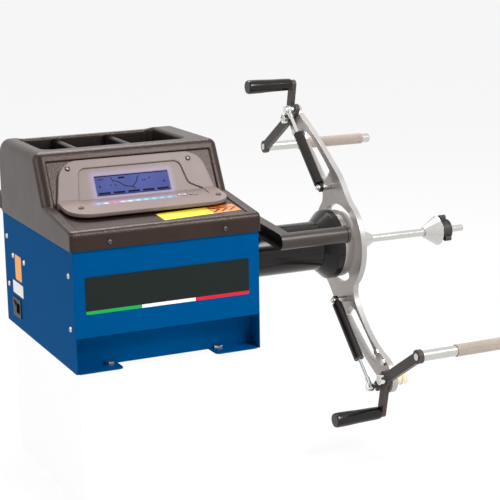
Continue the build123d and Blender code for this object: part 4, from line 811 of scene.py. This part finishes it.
grips = grip_tree()
for which in ("upper", "lower"):
    low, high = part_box("hand_grip_" + which)
    start = Vector((high.x, (low.y + high.y) / 2, (low.z + high.z) / 2))
    seed_point = bpy.data.meshes.new("grip_point")
    seed_point.from_pydata([tuple(start)], [], [])
    mesh = grown("fluted_grip_" + which, seed_point, grips,
                 {"Start": start, "Length": high.x - low.x, "Tip Radius": grip_tip_radius,
                  "Finish": grip_plastic})
    grip = new_piece("fluted_grip_" + which, mesh, grip_plastic, "grip_" + which, 50)
    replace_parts(grip, "hand_grip_" + which)


ridge_ring_radius = 19 * mm
ridge_size = (4.6 * mm, 1.8 * mm, 1.2 * mm)
ridge_shares = {"nut_ridges_back": 0.12, "nut_ridges_front": 0.88}


def ridge_tree():
    """Ridges round a nut: a ring of points round X, each with a bar along X."""
    inputs = [("Radius", "NodeSocketFloat", ridge_ring_radius), ("Ridges", "NodeSocketInt", 28),
              ("Ridge Size", "NodeSocketVector", ridge_size), ("Middle", "NodeSocketVector", (0, 0, 0)),
              ("Finish", "NodeSocketMaterial", None)]
    tree, inlet, outlet = geometry_tree("nut_ridges", inputs)
    ring = put(tree, "GeometryNodeMeshCircle", {"Radius": inlet.outputs["Radius"],
                                                "Vertices": inlet.outputs["Ridges"]})
    spot = put(tree, "GeometryNodeInputPosition").outputs["Position"]
    turned = put(tree, "FunctionNodeAlignRotationToVector", {"Vector": spot}, axis="Z", pivot_axis="X")
    upright = put(tree, "GeometryNodeTransform", {"Geometry": ring.outputs["Mesh"]},
                  Rotation=(0, pi / 2, 0))
    bar = put(tree, "GeometryNodeMeshCube", {"Size": inlet.outputs["Ridge Size"]})
    bars = put(tree, "GeometryNodeInstanceOnPoints", {"Points": upright.outputs["Geometry"],
                                                      "Instance": bar.outputs["Mesh"],
                                                      "Rotation": turned.outputs["Rotation"]})
    moved = put(tree, "GeometryNodeTransform", {"Geometry": bars.outputs["Instances"],
                                                "Translation": inlet.outputs["Middle"]})
    finish_tree(tree, inlet, outlet, moved.outputs["Geometry"])
    return tree


nut_low, nut_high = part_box("quick_nut")
ridges = ridge_tree()
for name, share in ridge_shares.items():
    point = bpy.data.meshes.new("nut_point")
    point.from_pydata([(0, 0, 0)], [], [])
    spot = Vector((nut_low.x + (nut_high.x - nut_low.x) * share, 0, spindle_height * mm))
    values = {"Middle": spot, "Radius": ridge_ring_radius, "Finish": dark_steel, "Ridge Size": ridge_size}
    new_piece(name, grown(name, point, ridges, values), dark_steel, "cone_nut")


# Camera, light and backdrop

scene = bpy.context.scene
scene.view_settings.view_transform = "Standard"
camera_place = (-0.8318, -2.2616, 0.6886)
camera_tilt, camera_roll, camera_heading = 77.15, 0.89, -25.35
lens_length = 105.3
sensor_width = 36.0
camera = bpy.data.objects.new("camera", bpy.data.cameras.new("camera"))
scene.collection.objects.link(camera)
camera.location = camera_place
camera.rotation_euler = (radians(camera_tilt), radians(camera_roll), radians(camera_heading))
camera.data.lens = lens_length
camera.data.sensor_width = sensor_width
scene.camera = camera


def softbox(name, place, aim, size, power):
    """A rectangular studio light at a place, turned towards a point."""
    data = bpy.data.lights.new(name, "AREA")
    data.shape = "RECTANGLE"
    data.size, data.size_y = size
    data.energy = power
    lamp = bpy.data.objects.new(name, data)
    lamp.visible_camera = False
    scene.collection.objects.link(lamp)
    lamp.location = place
    lamp.rotation_euler = (Vector(aim) - Vector(place)).to_track_quat("-Z", "Y").to_euler()


softbox("top_light", (0.2, 1.0, 2.2), (0.1, 0, 0.2), (1.6, 1.2), 66)
softbox("key_light", (0.9, -1.7, 1.8), (0.0, 0, 0.2), (1.0, 0.8), 52)
softbox("front_light", (0.6, -2.6, 0.9), (0.1, 0, 0.1), (1.4, 1.0), 8)
softbox("left_light", (-2.2, -0.2, 1.2), (0, 0, 0.2), (0.8, 1.0), 18)


def background_rays(tree):
    """1 for the rays that see the white background: camera, glossy and transmission; 0 for the rest."""
    path = put(tree, "ShaderNodeLightPath")
    mirrored = calc(tree, "MAXIMUM", path.outputs["Is Glossy Ray"], path.outputs["Is Transmission Ray"])
    return calc(tree, "MAXIMUM", path.outputs["Is Camera Ray"], mirrored)


fill_strength = 0.25
floor_white_share = 0.9
floor_height = -0.23
floor_thickness = 0.01
floor_half = 20
plinth_half_x, plinth_half_y = 0.150, 0.178
plinth_gap = 0.0005

world = bpy.data.worlds.new("studio")
scene.world = world
world.use_nodes = True
sky = world.node_tree
sky.nodes.clear()
seen = background_rays(sky)
white = put(sky, "ShaderNodeBackground", Color=(1, 1, 1, 1), Strength=1.0)
fill = put(sky, "ShaderNodeBackground", Color=(1, 1, 1, 1), Strength=fill_strength)
both = put(sky, "ShaderNodeMixShader", {0: seen, 1: fill.outputs["Background"],
                                        2: white.outputs["Background"]})
put(sky, "ShaderNodeOutputWorld", {"Surface": both.outputs["Shader"]})


def stage_white():
    """Matt white studio floor, near white to the background's rays, with the object's shadow faint."""
    mat = bpy.data.materials.new("studio_white")
    mat.use_nodes = True
    tree = mat.node_tree
    tree.nodes.clear()
    share = calc(tree, "MULTIPLY", background_rays(tree), floor_white_share)
    matt = put(tree, "ShaderNodeBsdfDiffuse", Color=srgb("f2f2f2"))
    bright = put(tree, "ShaderNodeEmission", Color=(1, 1, 1, 1), Strength=1.0)
    mixed = put(tree, "ShaderNodeMixShader", {0: share, 1: matt.outputs["BSDF"],
                                              2: bright.outputs["Emission"]})
    put(tree, "ShaderNodeOutputMaterial", {"Surface": mixed.outputs["Shader"]})
    return mat


def stage_piece(name, low, high):
    """A block of the studio's floor or plinth."""
    bm = bmesh.new()
    bmesh.ops.create_cube(bm, size=1.0)
    for vert in bm.verts:
        vert.co = Vector([lo + (co + 0.5) * (hi - lo) for co, lo, hi in zip(vert.co, low, high)])
    mesh = bpy.data.meshes.new(name)
    bm.to_mesh(mesh)
    bm.free()
    mesh.materials.append(white_stage)
    piece = bpy.data.objects.new(name, mesh)
    scene.collection.objects.link(piece)


white_stage = stage_white()
stage_piece("studio_floor", (-floor_half, -floor_half, floor_height - floor_thickness),
            (floor_half, floor_half, floor_height))
stage_piece("studio_plinth", (-plinth_half_x, -plinth_half_y, floor_height),
            (plinth_half_x, plinth_half_y, -plinth_gap))
